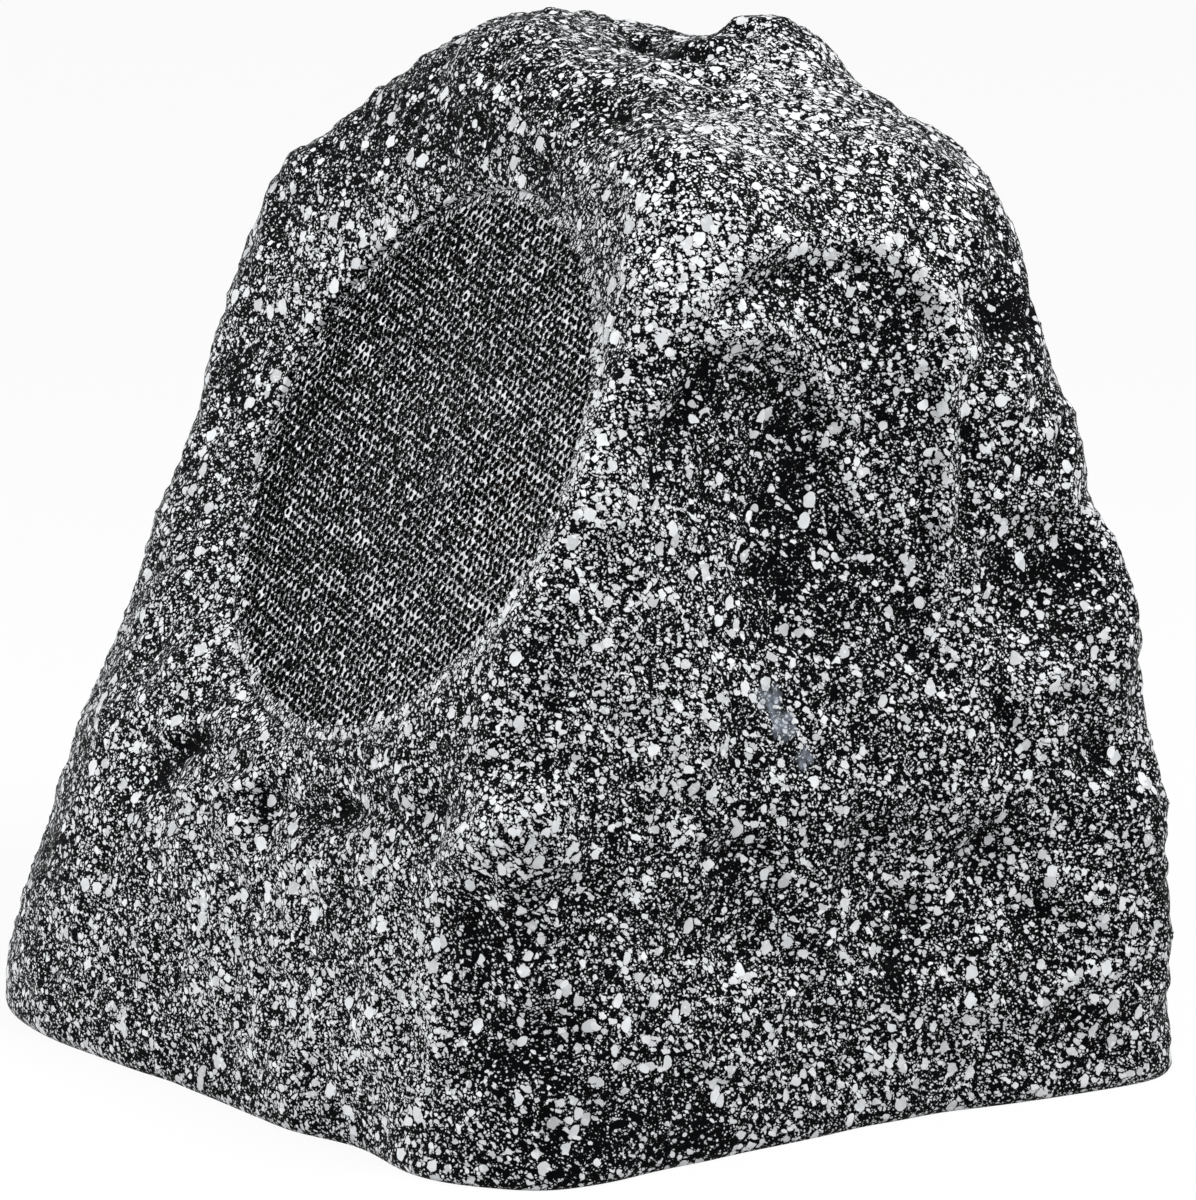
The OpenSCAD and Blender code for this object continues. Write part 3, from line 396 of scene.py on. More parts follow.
# %% [markdown]
# ### The rim of the grille's seat
#
# In the photograph the stone meets the grille without a step, so the stone's face is raised a little round the seat,
# wherever it lies lower than the grille. The seat's rim is then rounded, as a casting's edge is.

# %% The rim of the seat
SEAT_DEPTH, SEAT_TOLERANCE = 9.5 * MM, 1 * MM
LIP_HEIGHT, LIP_WIDTH, LIP_BACK, RIM_ROUND = 0.3 * MM, 20 * MM, 25 * MM, 0.5 * MM

def from_grille(point):
    """How far a point lies in front of the grille's face and how far to the side of the grille's middle."""
    gap = point - face_middle
    ahead = gap.dot(face_out)
    return ahead, (gap - face_out * ahead).length

def on_seat_wall(face):
    """Whether a face is a part of the round wall that stands behind the rim."""
    ahead, side = from_grille(face.calc_center_median())
    return abs(side - recess_radius) < SEAT_TOLERANCE and ahead > -SEAT_DEPTH

def ramp(value, low, high):
    """From 0 at low to 1 at high, without a kink at either end."""
    t = max(0.0, min(1.0, (value - low) / (high - low)))
    return t * t * (3 - 2 * t)

seat_wall = {face for face in bm.faces if face not in outside and on_seat_wall(face)}
rim = [e for e in bm.edges if len(e.link_faces) == 2 and (e.link_faces[0] in outside) != (e.link_faces[1] in outside)
       and (e.link_faces[0] in seat_wall or e.link_faces[1] in seat_wall)]
rim_verts = list({v for e in rim for v in e.verts})
around = KDTree(len(rim_verts))
for k, vert in enumerate(rim_verts):
    around.insert(vert.co, k)
around.balance()
shortfall = [max(0.0, LIP_HEIGHT - from_grille(v.co)[0]) for v in rim_verts]
for vert in {v for face in outside for v in face.verts}:
    ahead, side = from_grille(vert.co)
    if side < recess_radius + LIP_WIDTH and ahead > -LIP_BACK:
        vert.co += face_out * shortfall[around.find(vert.co)[1]] * (1 - ramp(side - recess_radius, 0, LIP_WIDTH))
rounded = bmesh.ops.bevel(bm, geom=rim, affect="EDGES", offset=RIM_ROUND, segments=2, profile=0.5, material=-1)
for face in rounded["faces"]:
    face.material_index = SEAT
for face in bm.faces:
    if face.material_index == INSIDE and on_seat_wall(face):
        face.material_index = SEAT
outside = {face for face in bm.faces if face.material_index == OUTSIDE}
print("faces of the seat's wall:", len(seat_wall), "edges of its rim:", len(rim))
print("faces on the outside:", len(outside), "open edges:", sum(len(e.link_faces) != 2 for e in bm.edges))

# %% [markdown]
# ### Finer faces
#
# Each edge of the outside is cut in four, and the points are then smoothed, so the centimetre facets lose their hard
# edges. The foot stands on the ground, so the points of its outline only slide along the ground, between their two
# neighbours.

# %% Dividing and smoothing
SMOOTH_TURNS, GROUND = 6, 0.01 * MM

edges = list({edge for face in outside for edge in face.edges})
bmesh.ops.subdivide_edges(bm, edges=edges, cuts=3, use_grid_fill=True)
bmesh.ops.triangulate(bm, faces=[f for f in bm.faces if len(f.verts) > 4])
free = [v for v in bm.verts if v.link_faces and all(f.material_index == OUTSIDE for f in v.link_faces)]
foot = {}  # each point of the foot's outline with its two neighbours on it
for edge in bm.edges:
    if sum(f.material_index == OUTSIDE for f in edge.link_faces) == 1 and all(v.co.z < GROUND for v in edge.verts):
        for vert in edge.verts:
            foot.setdefault(vert, []).append(edge.other_vert(vert))
for turn in range(SMOOTH_TURNS):
    bmesh.ops.smooth_vert(bm, verts=free, factor=0.5, use_axis_x=True, use_axis_y=True, use_axis_z=True)
    middles = {vert: sum((other.co for other in others), Vector()) / len(others) for vert, others in foot.items()}
    for vert, middle in middles.items():
        vert.co = vert.co.lerp(middle, 0.5)
bm.normal_update()
print("points that can move:", len(free), "on the foot's outline:", len(foot), "faces now:", len(bm.faces))

# %% [markdown]
# ### Chips, pits and ledges
#
# Noise makes a stone rough, but a real boulder also has marks of its own. Each row of the first table is one such mark,
# as a sculptor would press or build it up: its place and reach in millimetres, how far it stands out or goes in, and
# how much more or less of the pale spray it caught. That last value also paints light and shade: more pale drops where
# the stone should look lit, fewer in its hollows and on its shaded sides. Rows without a height only make the coat
# lighter or darker there, partly as thicker or thinner spray and partly as painted light and shade. Ledges, furrows and
# crevices are longer than they are wide, so each row of the second table is a bent line.

# %% The marks of this stone
MARKS = (
    # x, y, z, reach, height, spray, with painted light and shade in it
    (11, -155, 61, 59, 0.0, 0.12),  # left skirt
    (108, -137, 49, 39, 0.0, 0.14),  # skirt, lower middle
    (146, -51, 232, 31, 0.0, 0.10),  # ridge beside the grille
    (154, -55, 181, 31, 0.0, 0.12),  # ridge, lower
    (113, -34, 342, 24, 0.0, 0.12),  # ridge, upper
    (129, -11, 348, 20, 0.8, 0.14),  # bright band over the brow
    (66, 67, 387, 24, 0.0, 0.10),  # bright right peak
    (89, 26, 379, 24, 0.0, 0.25),  # shoulder
    (99, 82, 372, 24, 0.0, 0.12),  # shoulder, right
    (-108, -42, 349, 18, -0.5, -0.08),  # dark crown
    (-48, -28, 367, 18, -0.5, -0.08),
    (16, -19, 376, 16, -0.3, -0.08),
    (-108, -83, 255, 18, 0.0, -0.25),  # dark edge left of the grille
    (171, 147, 57, 20, 0.0, 0.11),  # low right edge
    (160, 43, 50, 24, 0.0, 0.07),
    (162, -103, 47, 22, -0.5, -0.08),  # dark corner under the knob
    (-55, -156, 112, 5, -3.0, -0.64),  # crevice
    (-53, -151, 118, 5, -3.4, -0.64),
    (-45, -147, 126, 5, -3.4, -0.64),
    (-34, -146, 134, 5, -3.0, -0.56),
    (-60, -150, 129, 7, 1.4, 0.08),  # lip over the crevice
    (0, -145, 133, 5, -2.0, -0.40),
    (14, -142, 122, 6, -2.5, -0.36),  # dents over the ledge
    (22, -141, 116, 5, -2.5, -0.44),
    (52, -137, 123, 8, -2.2, -0.20),
    (64, -132, 127, 6, -2.0, -0.24),
    (89, -129, 136, 6, -2.2, -0.24),
    (117, -124, 137, 8, -2.2, -0.20),
    (-24, -159, 93, 13, 1.4, 0.04),  # ledge under the grille
    (9, -150, 105, 13, 2.0, 0.07),
    (43, -141, 108, 13, 2.2, 0.08),
    (78, -133, 114, 13, 1.8, 0.07),
    (81, -137, 95, 3, -1.5, -0.40),
    (-51, -173, 41, 9, -1.0, -0.12),
    (154, -115, 136, 13, 3.5, 0.19),  # knob
    (160, -103, 145, 11, 3.0, 0.28),
    (139, -123, 129, 10, 2.6, 0.18),
    (120, -126, 113, 8, 1.8, 0.12),
    (162, -99, 124, 11, 2.0, 0.08),
    (123, -127, 97, 6, -1.6, -0.28),
    (140, -120, 97, 10, -1.6, -0.16),  # under the knob
    (155, -108, 98, 12, -1.6, -0.20),
    (161, -84, 110, 10, -1.6, -0.12),
    (161, -76, 132, 9, -2.2, -0.12),  # right of the knob
    (146, -119, 72, 12, -1.0, -0.12),
    (160, -106, 55, 13, -1.6, -0.17),
    (168, -98, 10, 16, -1.0, -0.22),  # dark foot
    (168, -37, 10, 16, -1.0, -0.19),
    (140, 66, 304, 6, -3.0, -0.48),  # dark pit
    (143, 67, 285, 10, -2.0, -0.16),
    (134, 9, 275, 10, -2.6, -0.08),
    (138, -21, 288, 8, -2.6, -0.28),
    (139, -35, 278, 8, -2.0, -0.20),
    (134, 18, 252, 11, -2.2, -0.22),  # darkest part
    (134, 7, 241, 9, -2.0, -0.16),
    (136, -11, 260, 9, -1.6, -0.16),
    (134, 39, 270, 9, 1.6, 0.12),  # light island
    (137, 43, 254, 8, 1.6, 0.10),
    (143, 49, 238, 8, 1.6, 0.10),
    (139, 17, 218, 11, -2.4, -0.26),  # darkest, lower
    (143, 35, 220, 9, -2.0, -0.20),
    (143, 10, 196, 9, -2.0, -0.24),
    (151, 61, 196, 11, -2.5, -0.24),
    (147, 54, 215, 9, -2.0, -0.16),
    (146, 75, 278, 5, -2.2, -0.24),
    (148, 76, 248, 5, -2.2, -0.24),
    (149, 73, 224, 5, -1.8, -0.20),
    (140, 105, 310, 7, -3.0, -0.36),  # pit behind the rib
    (142, 110, 300, 6, -3.0, -0.44),
    (138, 113, 317, 6, -2.5, -0.28),
    (148, 100, 284, 7, -2.0, -0.12),
    (136, 129, 304, 4, -2.5, -0.44),
    (125, 121, 337, 8, -1.6, -0.20),
    (149, 116, 279, 6, 1.8, 0.14),
    (147, 137, 257, 4, -2.6, -0.44),  # slot near the edge
    (152, 124, 236, 5, 2.6, 0.32),  # bright step
    (150, 137, 232, 5, 2.8, 0.32),
    (148, 149, 224, 5, 2.8, 0.30),
    (149, 157, 215, 5, 2.6, 0.28),
    (151, 126, 227, 5, -3.0, -0.48),  # deep hollow under the step
    (151, 127, 211, 9, -3.2, -0.44),
    (154, 142, 210, 8, -3.0, -0.44),
    (151, 106, 214, 9, -2.6, -0.36),
    (159, 147, 198, 7, -2.5, -0.36),
    (151, 112, 197, 9, -2.0, -0.24),
    (156, 131, 191, 9, -2.2, -0.24),
    (164, 143, 137, 8, -3.0, -0.40),  # pit under the ledge
    (160, 166, 137, 6, 1.2, 0.16),
    (161, 95, 103, 9, -2.5, -0.32),  # pit
    (164, 111, 73, 9, -2.0, -0.24),
    (158, 61, 73, 11, -2.5, -0.28),
    (157, 40, 110, 13, -1.6, -0.10),
    (157, -15, 114, 13, -2.0, -0.12),
    (155, -12, 82, 13, -2.0, -0.14),
    (12, 55, 402, 13, -3.2, -0.66),  # saddle between the peaks
    (-44, 73, 395, 9, -1.6, -0.48),
    (49, -8, 380, 9, -1.6, -0.24),  # dark dent under the left peak
    (36, 16, 392, 10, 1.2, 0.18),  # bright edge under the saddle
    (-120, -63, 319, 9, -1.6, -0.24),
    (-72, -48, 317, 11, 1.0, 0.16),  # light band
    (-100, -64, 297, 10, 0.8, 0.10),
    (-89, -139, 157, 9, -0.8, -0.16),
    (-55, -121, 170, 7, 0.6, 0.10),
    (133, 27, 271, 33, 0.0, -0.12),  # the big hollow as a whole
    (139, 23, 222, 28, 0.0, -0.08),
    (152, 133, 207, 18, 0.0, -0.08),  # hollow at the right edge
    (-85, -33, 360, 24, 0.0, -0.30),  # dark band of the left crown
    (-121, -53, 338, 18, 0.0, -0.17),
    (-29, -25, 373, 22, 0.0, -0.28),
    (26, -3, 389, 16, 0.0, -0.14),
    (-89, -57, 306, 12, 0.0, 0.20),  # bright band between crown and grille
    (-58, -42, 326, 9, 0.0, 0.12),
    (47, 65, 397, 16, 0.0, 0.30),  # bright side of the right peak
    (140, -56, 274, 22, 0.0, 0.11),  # even bright ridge
    (150, -88, 207, 20, 0.0, 0.06),
    (165, -79, 71, 20, 0.0, -0.08),  # dark right of the corner
    (169, -64, 11, 24, 0.0, -0.11),
    (155, -12, 101, 14, 0.0, -0.08),
    (155, 51, 76, 16, 0.0, -0.08),
    (161, 106, 89, 14, 0.0, -0.08),
    (134, -18, 331, 14, 0.0, 0.25),  # bright ridge at the brow's left end
    (31, -26, 353, 12, 0.0, -0.32),  # dark over the grille
    (-98, -176, 77, 16, 0.0, -0.22),  # dark left edge
    (138, 123, 304, 12, 0.0, -0.44),  # dark right edge
    (134, 26, 282, 24, 0.0, 0.06),
    (151, 127, 211, 9, 0.0, 0.10),
    (137, -122, 134, 9, 1.0, 0.14),  # bright top of the knob
    (157, -36, 158, 24, 0.0, 0.10),  # even middle of the right side
    (139, -6, 301, 9, 0.0, 0.14),
    (133, 20, 268, 9, 0.0, 0.10),
    (137, -58, 277, 18, 0.0, 0.08),  # ridge beside the hollow
    (165, -69, 70, 11, 0.0, 0.11),
    (65, -149, 25, 18, 0.0, 0.08),
    (-124, -87, 257, 10, 0.0, -0.22),  # shade left of the grille
    (-109, -95, 234, 9, 0.0, -0.10),
    (138, 123, 304, 10, 0.0, -0.16),
    (168, -37, 6, 11, 0.0, -0.14),
    (156, 59, 77, 22, 0.0, -0.05),
    (28, -26, 353, 7, 0.0, -0.16),
    (89, 26, 379, 28, 0.0, 0.05),  # shoulder as a whole
)
print("marks:", len(MARKS))

# %% Ledges and furrows
STROKES = (
    # reach, height, spray with painted light and shade, and the points of a line that a chisel would follow
    (5.1, 2.6, 0.24, (  # brow over the big hollow
        (136, -19, 325), (135, -4, 336), (135, 14, 343), (132, 42, 345), (134, 68, 337), (141, 86, 316),
        (149, 91, 293))),
    (5.9, -4.2, -0.10, (  # undercut of the brow
        (139, -6, 323), (137, 16, 330), (136, 40, 331), (138, 61, 323), (141, 74, 309))),
    (5.1, -2.6, -0.26, ((139, -18, 299), (139, -25, 289), (139, -36, 275), (142, -44, 261))),  # left end of the hollow
    (4.3, 3.2, 0.26, (  # nub in the hollow
        (140, -12, 313), (139, 5, 313), (136, 20, 305), (135, 32, 289), (136, 48, 275))),
    (6.3, -3.6, -0.20, ((138, -11, 290), (135, 12, 287), (133, 22, 263), (136, 21, 237))),  # floor under the nub
    (3.5, 3.0, 0.26, (  # rib on the hollow's right
        (147, 83, 290), (148, 84, 267), (150, 81, 236), (151, 77, 202), (153, 70, 188))),
    (3.1, -2.4, -0.26, ((149, 91, 269), (151, 89, 231))),  # groove beside the rib
    (5.5, 1.2, 0.10, ((121, -127, 106), (127, -129, 69), (133, -130, 35))),  # edge of the lit skirt
    (5.1, -1.4, -0.18, ((143, -120, 109), (145, -120, 72), (150, -122, 39))),  # dark side of the skirt's edge
    (3.0, 0.3, 0.25, (  # lip of the seat, lower right
        (51, -131, 150), (78, -126, 160), (102, -118, 176), (121, -106, 198), (133, -93, 221), (137, -79, 248))),
    (5.5, -1.2, -0.16, ((115, -119, 170), (141, -108, 191), (147, -91, 213))),  # furrow below the lip
    (3.9, -1.6, -0.12, (  # furrow under the ledge
        (17, -141, 120), (57, -135, 123), (100, -128, 134), (120, -123, 141))),
    (3.1, 2.6, 0.28, ((162, 105, 164), (164, 126, 169), (166, 147, 163))),  # bright ledge on the right
    (7.9, 2.4, 0.00, ((14, 49, 400), (27, 52, 402))),  # saddle's crest
    (6.3, 2.4, 0.10, ((21, 70, 408), (25, 81, 408))),  # top of the right peak
    (4.5, -3.4, -1.00, ((-34, 54, 393), (20, 37, 398), (33, 43, 398))),  # pocket in the saddle
    (2.4, -2.0, -0.50, ((26, 65, 405), (38, 56, 399))),  # slit beside the pocket
    (3.1, -1.6, -0.30, ((41, -5, 384), (57, -5, 381))),  # dent under the left peak
    (2.0, -4.0, -0.85, ((-53, -153, 115), (-49, -148, 124), (-33, -145, 135))),  # crevice left of the ledge
    (2.4, 2.0, 0.22, ((-35, -154, 113), (-11, -150, 121), (11, -144, 126))),  # lip under the crevice
    (2.8, -3.0, -0.50, ((161, 100, 162), (164, 104, 148), (165, 108, 136))),  # pit on the right side
)

def along(points, step):
    """Points on a bent line, about this far apart."""
    placed = []
    for a, b in zip(points, points[1:]):
        start, end = Vector(a) * MM, Vector(b) * MM
        parts = int((end - start).length / step) + 1
        placed += [start.lerp(end, k / parts) for k in range(parts + 1)]
    return placed

print("lines:", len(STROKES), "with", sum(len(row[3]) for row in STROKES), "points")

# %% [markdown]
# ### Pressing the marks
#
# Every mark fades out like a soft brush, so it is added to each point in reach with a bell-shaped weight. A line is a
# row of brush spots, and each point takes only the strongest of them, or the line would be deeper where its spots
# overlap.

# %% How far each point rises and how much spray it caught
near = KDTree(len(free))
for k, vert in enumerate(free):
    near.insert(vert.co, k)
near.balance()

def brush(spot, reach):
    """The points round a spot, with a weight that falls from 1 in the middle to almost nothing at 2.5 reaches."""
    return [(k, math.exp(-(distance / reach) ** 2)) for point, k, distance in near.find_range(spot, 2.5 * reach)]

# The spray of the marks gives both a thicker or thinner coat and painted light and shade.
rises, marked_spray_and_light = [0.0] * len(free), [0.0] * len(free)
for x, y, z, reach, rise, more_spray_and_light in MARKS:
    for k, fall in brush(Vector((x, y, z)) * MM, reach * MM):
        rises[k] += rise * MM * fall
        marked_spray_and_light[k] += more_spray_and_light * fall
for reach, rise, more_spray_and_light, points in STROKES:
    falls = {}
    for spot in along(points, 0.5 * reach * MM):
        for k, fall in brush(spot, reach * MM):
            falls[k] = max(falls.get(k, 0.0), fall)
    for k, fall in falls.items():
        rises[k] += rise * MM * fall
        marked_spray_and_light[k] += more_spray_and_light * fall
print("highest and deepest in mm:", round(max(rises) / MM, 1), round(min(rises) / MM, 1))

# %% [markdown]
# ### Carving
#
# Three sizes of noise give the rest of the surface: crags, chips and grain. They die away at the seat, at the foot and
# round the cable gland. The spray follows them a little, since what stands out catches more. A ray inwards from each
# point finds the wall behind it, and no point goes deeper than leaves a sound wall. The foot's edge turns under and
# stays on the ground. At the end every point is kept within the box of the solids.

# %% Carving
CRAG_SIZE, CHIP_SIZE, GRAIN_SIZE = 26 * MM, 9 * MM, 4.5 * MM
CRAG_HEIGHT, CHIP_HEIGHT, GRAIN_HEIGHT = 2.0 * MM, 1.3 * MM, 0.45 * MM
EMPHASIS = 1.25  # the marks are carved this much stronger than listed, so that they still read under the flecks
DEEPEST, SOUND_WALL, LONGEST_LOOK = 5.2 * MM, 1.5 * MM, 12 * MM
SEAT_CALM, FOOT_CALM, GLAND_CALM = (1.2 * MM, 14 * MM), (0, 25 * MM), (20 * MM, 32 * MM)  # noise starts, is full
gland_middle = Vector((-69, 176, 38)) * MM
FOOT_ROUND = 2.5 * MM  # how far the foot's edge turns under
SPRAY, SPRAY_PATCH = 0.48, 30 * MM  # the even level of the spray, and the size of its lighter and darker patches

# The noises take, after the point: how much less each finer layer counts, how much finer it is, and how many there are.
walls = BVHTree.FromBMesh(bm)
moves = {}
for k, vert in enumerate(free):
    p, n = vert.co, vert.normal
    ahead, side = from_grille(p)
    calm = ramp(side - recess_radius, *SEAT_CALM) if ahead > -30 * MM else 1.0
    calm *= ramp(p.z, *FOOT_CALM) * ramp((p - gland_middle).length, *GLAND_CALM)
    crag = noise.ridged_multi_fractal(p / CRAG_SIZE, 0.9, 2.1, 3, 1.0, 2.0) - 1.0
    chip = noise.fractal(p / CHIP_SIZE, 0.8, 2.2, 3)
    grain = noise.fractal(p / GRAIN_SIZE, 0.8, 2.2, 2)
    lift = calm * (CRAG_HEIGHT * crag + CHIP_HEIGHT * chip + GRAIN_HEIGHT * grain)
    lift += EMPHASIS * rises[k] * min(1.0, calm + 0.3)
    hit = SPRAY + 0.07 * crag + 0.05 * chip + 0.10 * noise.noise(p / SPRAY_PATCH) + 0.02 * ramp(-n.y, 0.74, 0.92)
    # The marks' spray, with its painted light and shade, is added to the even spray here.
    vert[spray_with_painted_light] = max(-0.1, min(1.15, hit + marked_spray_and_light[k]))
    behind = walls.ray_cast(p - n * 0.3 * MM, -n, LONGEST_LOOK)[3]
    moves[vert] = n * max(lift, SOUND_WALL - behind if behind else -DEEPEST, -DEEPEST)
    moves[vert] -= Vector((n.x, n.y, 0)) * FOOT_ROUND * max(0.0, 1 - p.z / (2 * FOOT_ROUND)) ** 2
for vert in bm.verts:
    if vert not in moves:
        vert[spray_with_painted_light] = 0.5
for vert in foot:
    n = sum((f.normal for f in vert.link_faces if f.material_index == OUTSIDE), Vector()).normalized()
    moves[vert] = -Vector((n.x, n.y, 0)) * FOOT_ROUND
low, high = (Vector(corner) for corner in cad_box)
for vert, step in moves.items():
    moved = vert.co + step
    vert.co = Vector([max(low[i], min(high[i], moved[i])) for i in range(3)])
print("points moved:", len(moves))

# %% [markdown]
# ### The finished stone
#
# The seat's wall is sprayed like the outside, so it takes the same coat, and only the inside is raw resin. The new mesh
# rides on the same body as the solid and takes its place.

# %% The finished stone
for face in bm.faces:
    face.smooth = face.material_index != INSIDE
    face.material_index = min(face.material_index, OUTSIDE)
stone.data.materials.clear()
stone.data.materials.append(raw_resin)
stone.data.materials.append(stone_coat)
bm.to_mesh(stone.data)
bm.free()
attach(stone, "speaker")
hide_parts("rock_shell")
stone.data.calc_loop_triangles()
print("triangles of the stone:", len(stone.data.loop_triangles))

# %% [markdown]
# ## The grille
#
# The grille is one steel disc, punched with round holes in a triangular pattern, with its rim folded back round a small
# radius, and then sprayed with the stone. The holes are modelled, not painted, because the dark driver is seen through
# them. A triangulation that keeps given edges joins all the holes and the rim in one flat sheet. The triangles that
# close a hole have all their points on one circle, so they are easy to find and leave out.

# %% The perforated sheet
PITCH, HOLE, PATTERN_TURN = 3.9 * MM, 2.7 * MM, math.radians(-9)
HOLE_CORNERS, RIM_CORNERS = 12, 180
rim_radius, fold = 113.5 * MM, 0.6 * MM
border = rim_radius - fold  # where the flat of the sheet ends
reach = rim_radius - 4.5 * MM - HOLE / 2  # how far out the middle of a hole may lie

def circle(middle, radius, corners):
    """The points of a circle, one after another."""
    turns = [2 * math.pi * k / corners for k in range(corners)]
    return [middle + radius * Vector((math.cos(t), math.sin(t))) for t in turns]

row_step = PITCH * math.sin(math.radians(60))
rows = int(reach / row_step) + 1
grid = range(-rows, rows + 1)
middles = [Vector((PITCH * (i + 0.5 * (j % 2)), row_step * j)) for j in grid for i in grid]
middles = [m for m in middles if m.length <= reach]
rim_start = HOLE_CORNERS * len(middles)
points = [p for m in middles for p in circle(m, HOLE / 2, HOLE_CORNERS)] + circle(Vector((0, 0)), border, RIM_CORNERS)
loops = [(HOLE_CORNERS * k, HOLE_CORNERS) for k in range(len(middles))] + [(rim_start, RIM_CORNERS)]
kept_edges = [(first + k, first + (k + 1) % count) for first, count in loops for k in range(count)]
points, edges, faces = delaunay_2d_cdt(points, kept_edges, [], 1, 1e-7)[:3]

def closes_hole(face):
    """Whether all the corners of a face lie on the edge of one hole."""
    return len({k // HOLE_CORNERS for k in face}) == 1 and max(face) < rim_start

faces = [face for face in faces if not closes_hole(face)]
print("holes:", len(middles), "triangles of the flat sheet:", len(faces))

# %% [markdown]
# ### The folded rim
#
# The edge of the sheet is extruded in small steps round the fold, and then once more straight down, as a press would.
# The spray lies a little thinner on the thin bars between the holes, and the pale drops grow towards the right side,
# so the grille is lighter there.

# %% The folded rim
RIM_HEIGHT = 9 * MM
FIELD_SPRAY, BORDER_SPRAY, RIGHTWARD_FLECKS = 0.52, 0.66, 0.16  # between the holes, on the border, and more to the right
PERFORATED, PLAIN = 0, 1  # the first two of the grille's materials

bm = bmesh.new()
spray_with_painted_light = bm.verts.layers.float.new("spray_with_painted_light")
verts = [bm.verts.new((p.x, p.y, 0)) for p in points]
for face in faces:
    bm.faces.new([verts[k] for k in face])
ring_edges = [e for e in bm.edges if e.is_boundary and min(v.co.length for v in e.verts) > border - 0.1 * MM]
for face in bm.faces:
    face.material_index = PLAIN if face.calc_center_median().length > reach + HOLE / 2 else PERFORATED
for vert in bm.verts:
    inner = vert.co.length < reach + HOLE * 0.6
    vert[spray_with_painted_light] = (FIELD_SPRAY if inner else BORDER_SPRAY) + RIGHTWARD_FLECKS * vert.co.x / border
bmesh.ops.rotate(bm, verts=bm.verts, cent=(0, 0, 0), matrix=Matrix.Rotation(PATTERN_TURN, 3, "Z"))
bends = [math.radians(t) for t in (22.5, 45, 67.5, 90)]
steps = [(border + fold * math.sin(a), -fold * (1 - math.cos(a))) for a in bends] + [(rim_radius, -RIM_HEIGHT)]
radius = border
for new_radius, depth in steps:
    grown = bmesh.ops.extrude_edge_only(bm, edges=ring_edges)["geom"]
    verts = [g for g in grown if isinstance(g, bmesh.types.BMVert)]
    ring_edges = [g for g in grown if isinstance(g, bmesh.types.BMEdge)]
    bmesh.ops.scale(bm, verts=verts, vec=(new_radius / radius, new_radius / radius, 1))
    for vert in verts:
        vert.co.z = depth
    radius = new_radius
bmesh.ops.recalc_face_normals(bm, faces=bm.faces)
if max(bm.faces, key=lambda f: f.calc_area()).normal.z < 0 and sum(f.normal.z for f in bm.faces) < 0:
    bmesh.ops.reverse_faces(bm, faces=bm.faces)
print("triangles before the sheet has its thickness:", sum(len(f.verts) - 2 for f in bm.faces))

# %% [markdown]
# ### The grille in its place
#
# The flat disc is turned upright, leaned back and moved to the seat. A Solidify modifier gives the sheet its thickness
# to the inside, and the walls of the holes that it makes take the third material, the dark first coat.

# %% The grille in its place
SHEET = 1.0 * MM

upright = Matrix.Translation(face_middle) @ Matrix.Rotation(math.radians(90 - LEAN), 4, "X")
bmesh.ops.transform(bm, matrix=upright, verts=bm.verts)
for face in bm.faces:
    face.smooth = True
grille = bpy.data.objects.new("perforated_grille", bpy.data.meshes.new("perforated_grille"))
bpy.context.scene.collection.objects.link(grille)
bm.to_mesh(grille.data)
bm.free()
grille.data.set_sharp_from_angle(angle=math.radians(35))
wall = grille.modifiers.new("sheet", "SOLIDIFY")
wall.thickness, wall.offset, wall.use_even_offset = SHEET, -1, False
wall.material_offset_rim = 2
for coat in (grille_coat, stone_coat, hole_coat):
    grille.data.materials.append(coat)
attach(grille, "speaker")
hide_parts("grille")

# %% [markdown]
# ## The other finishes
#
# Behind the grille and under the stone are the parts of an ordinary driver, a crossover and a base. Most are moulded,
# painted or plated, and differ in colour, in gloss and in the size of their grain. One function makes such a finish: a
# slow noise varies the tone a little, as any real surface does, and a fine one roughens it.

# %% Moulded, painted and plated finishes
TONE_PATCH = 12 * MM  # the size of the patches in which the two tones change
GLOSS_SPREAD = 0.06  # how far the grain changes the roughness

def grained(name, hex_value, other_hex, roughness, grain_size, grain_depth, metallic):
    """A finish with two close tones, and a grain of this size and this depth in millimetres."""
    material, tree, shader = new_finish(name)
    place = add(tree, "ShaderNodeTexCoord").outputs["Object"]
    slow = add(tree, "ShaderNodeTexNoise", {"Vector": place, "Scale": 1 / TONE_PATCH, "Detail": 3.0}).outputs["Fac"]
    tone = add(tree, "ShaderNodeMix", {"Factor": slow, 6: colour(hex_value), 7: colour(other_hex)}, data_type="RGBA")
    tree.links.new(tone.outputs[2], shader.inputs["Base Color"])
    grain = add(tree, "ShaderNodeTexNoise", {"Vector": place, "Scale": 1 / (grain_size * MM), "Detail": 2.0})
    grain = grain.outputs["Fac"]
    rough = add(tree, "ShaderNodeMapRange",
                {"Value": grain, "To Min": roughness - GLOSS_SPREAD, "To Max": roughness + GLOSS_SPREAD}).outputs[0]
    tree.links.new(rough, shader.inputs["Roughness"])
    shader.inputs["Metallic"].default_value = metallic
    bump = add(tree, "ShaderNodeBump", {"Height": grain, "Strength": 0.5, "Distance": grain_depth * MM})
    tree.links.new(bump.outputs[0], shader.inputs["Normal"])
    return material

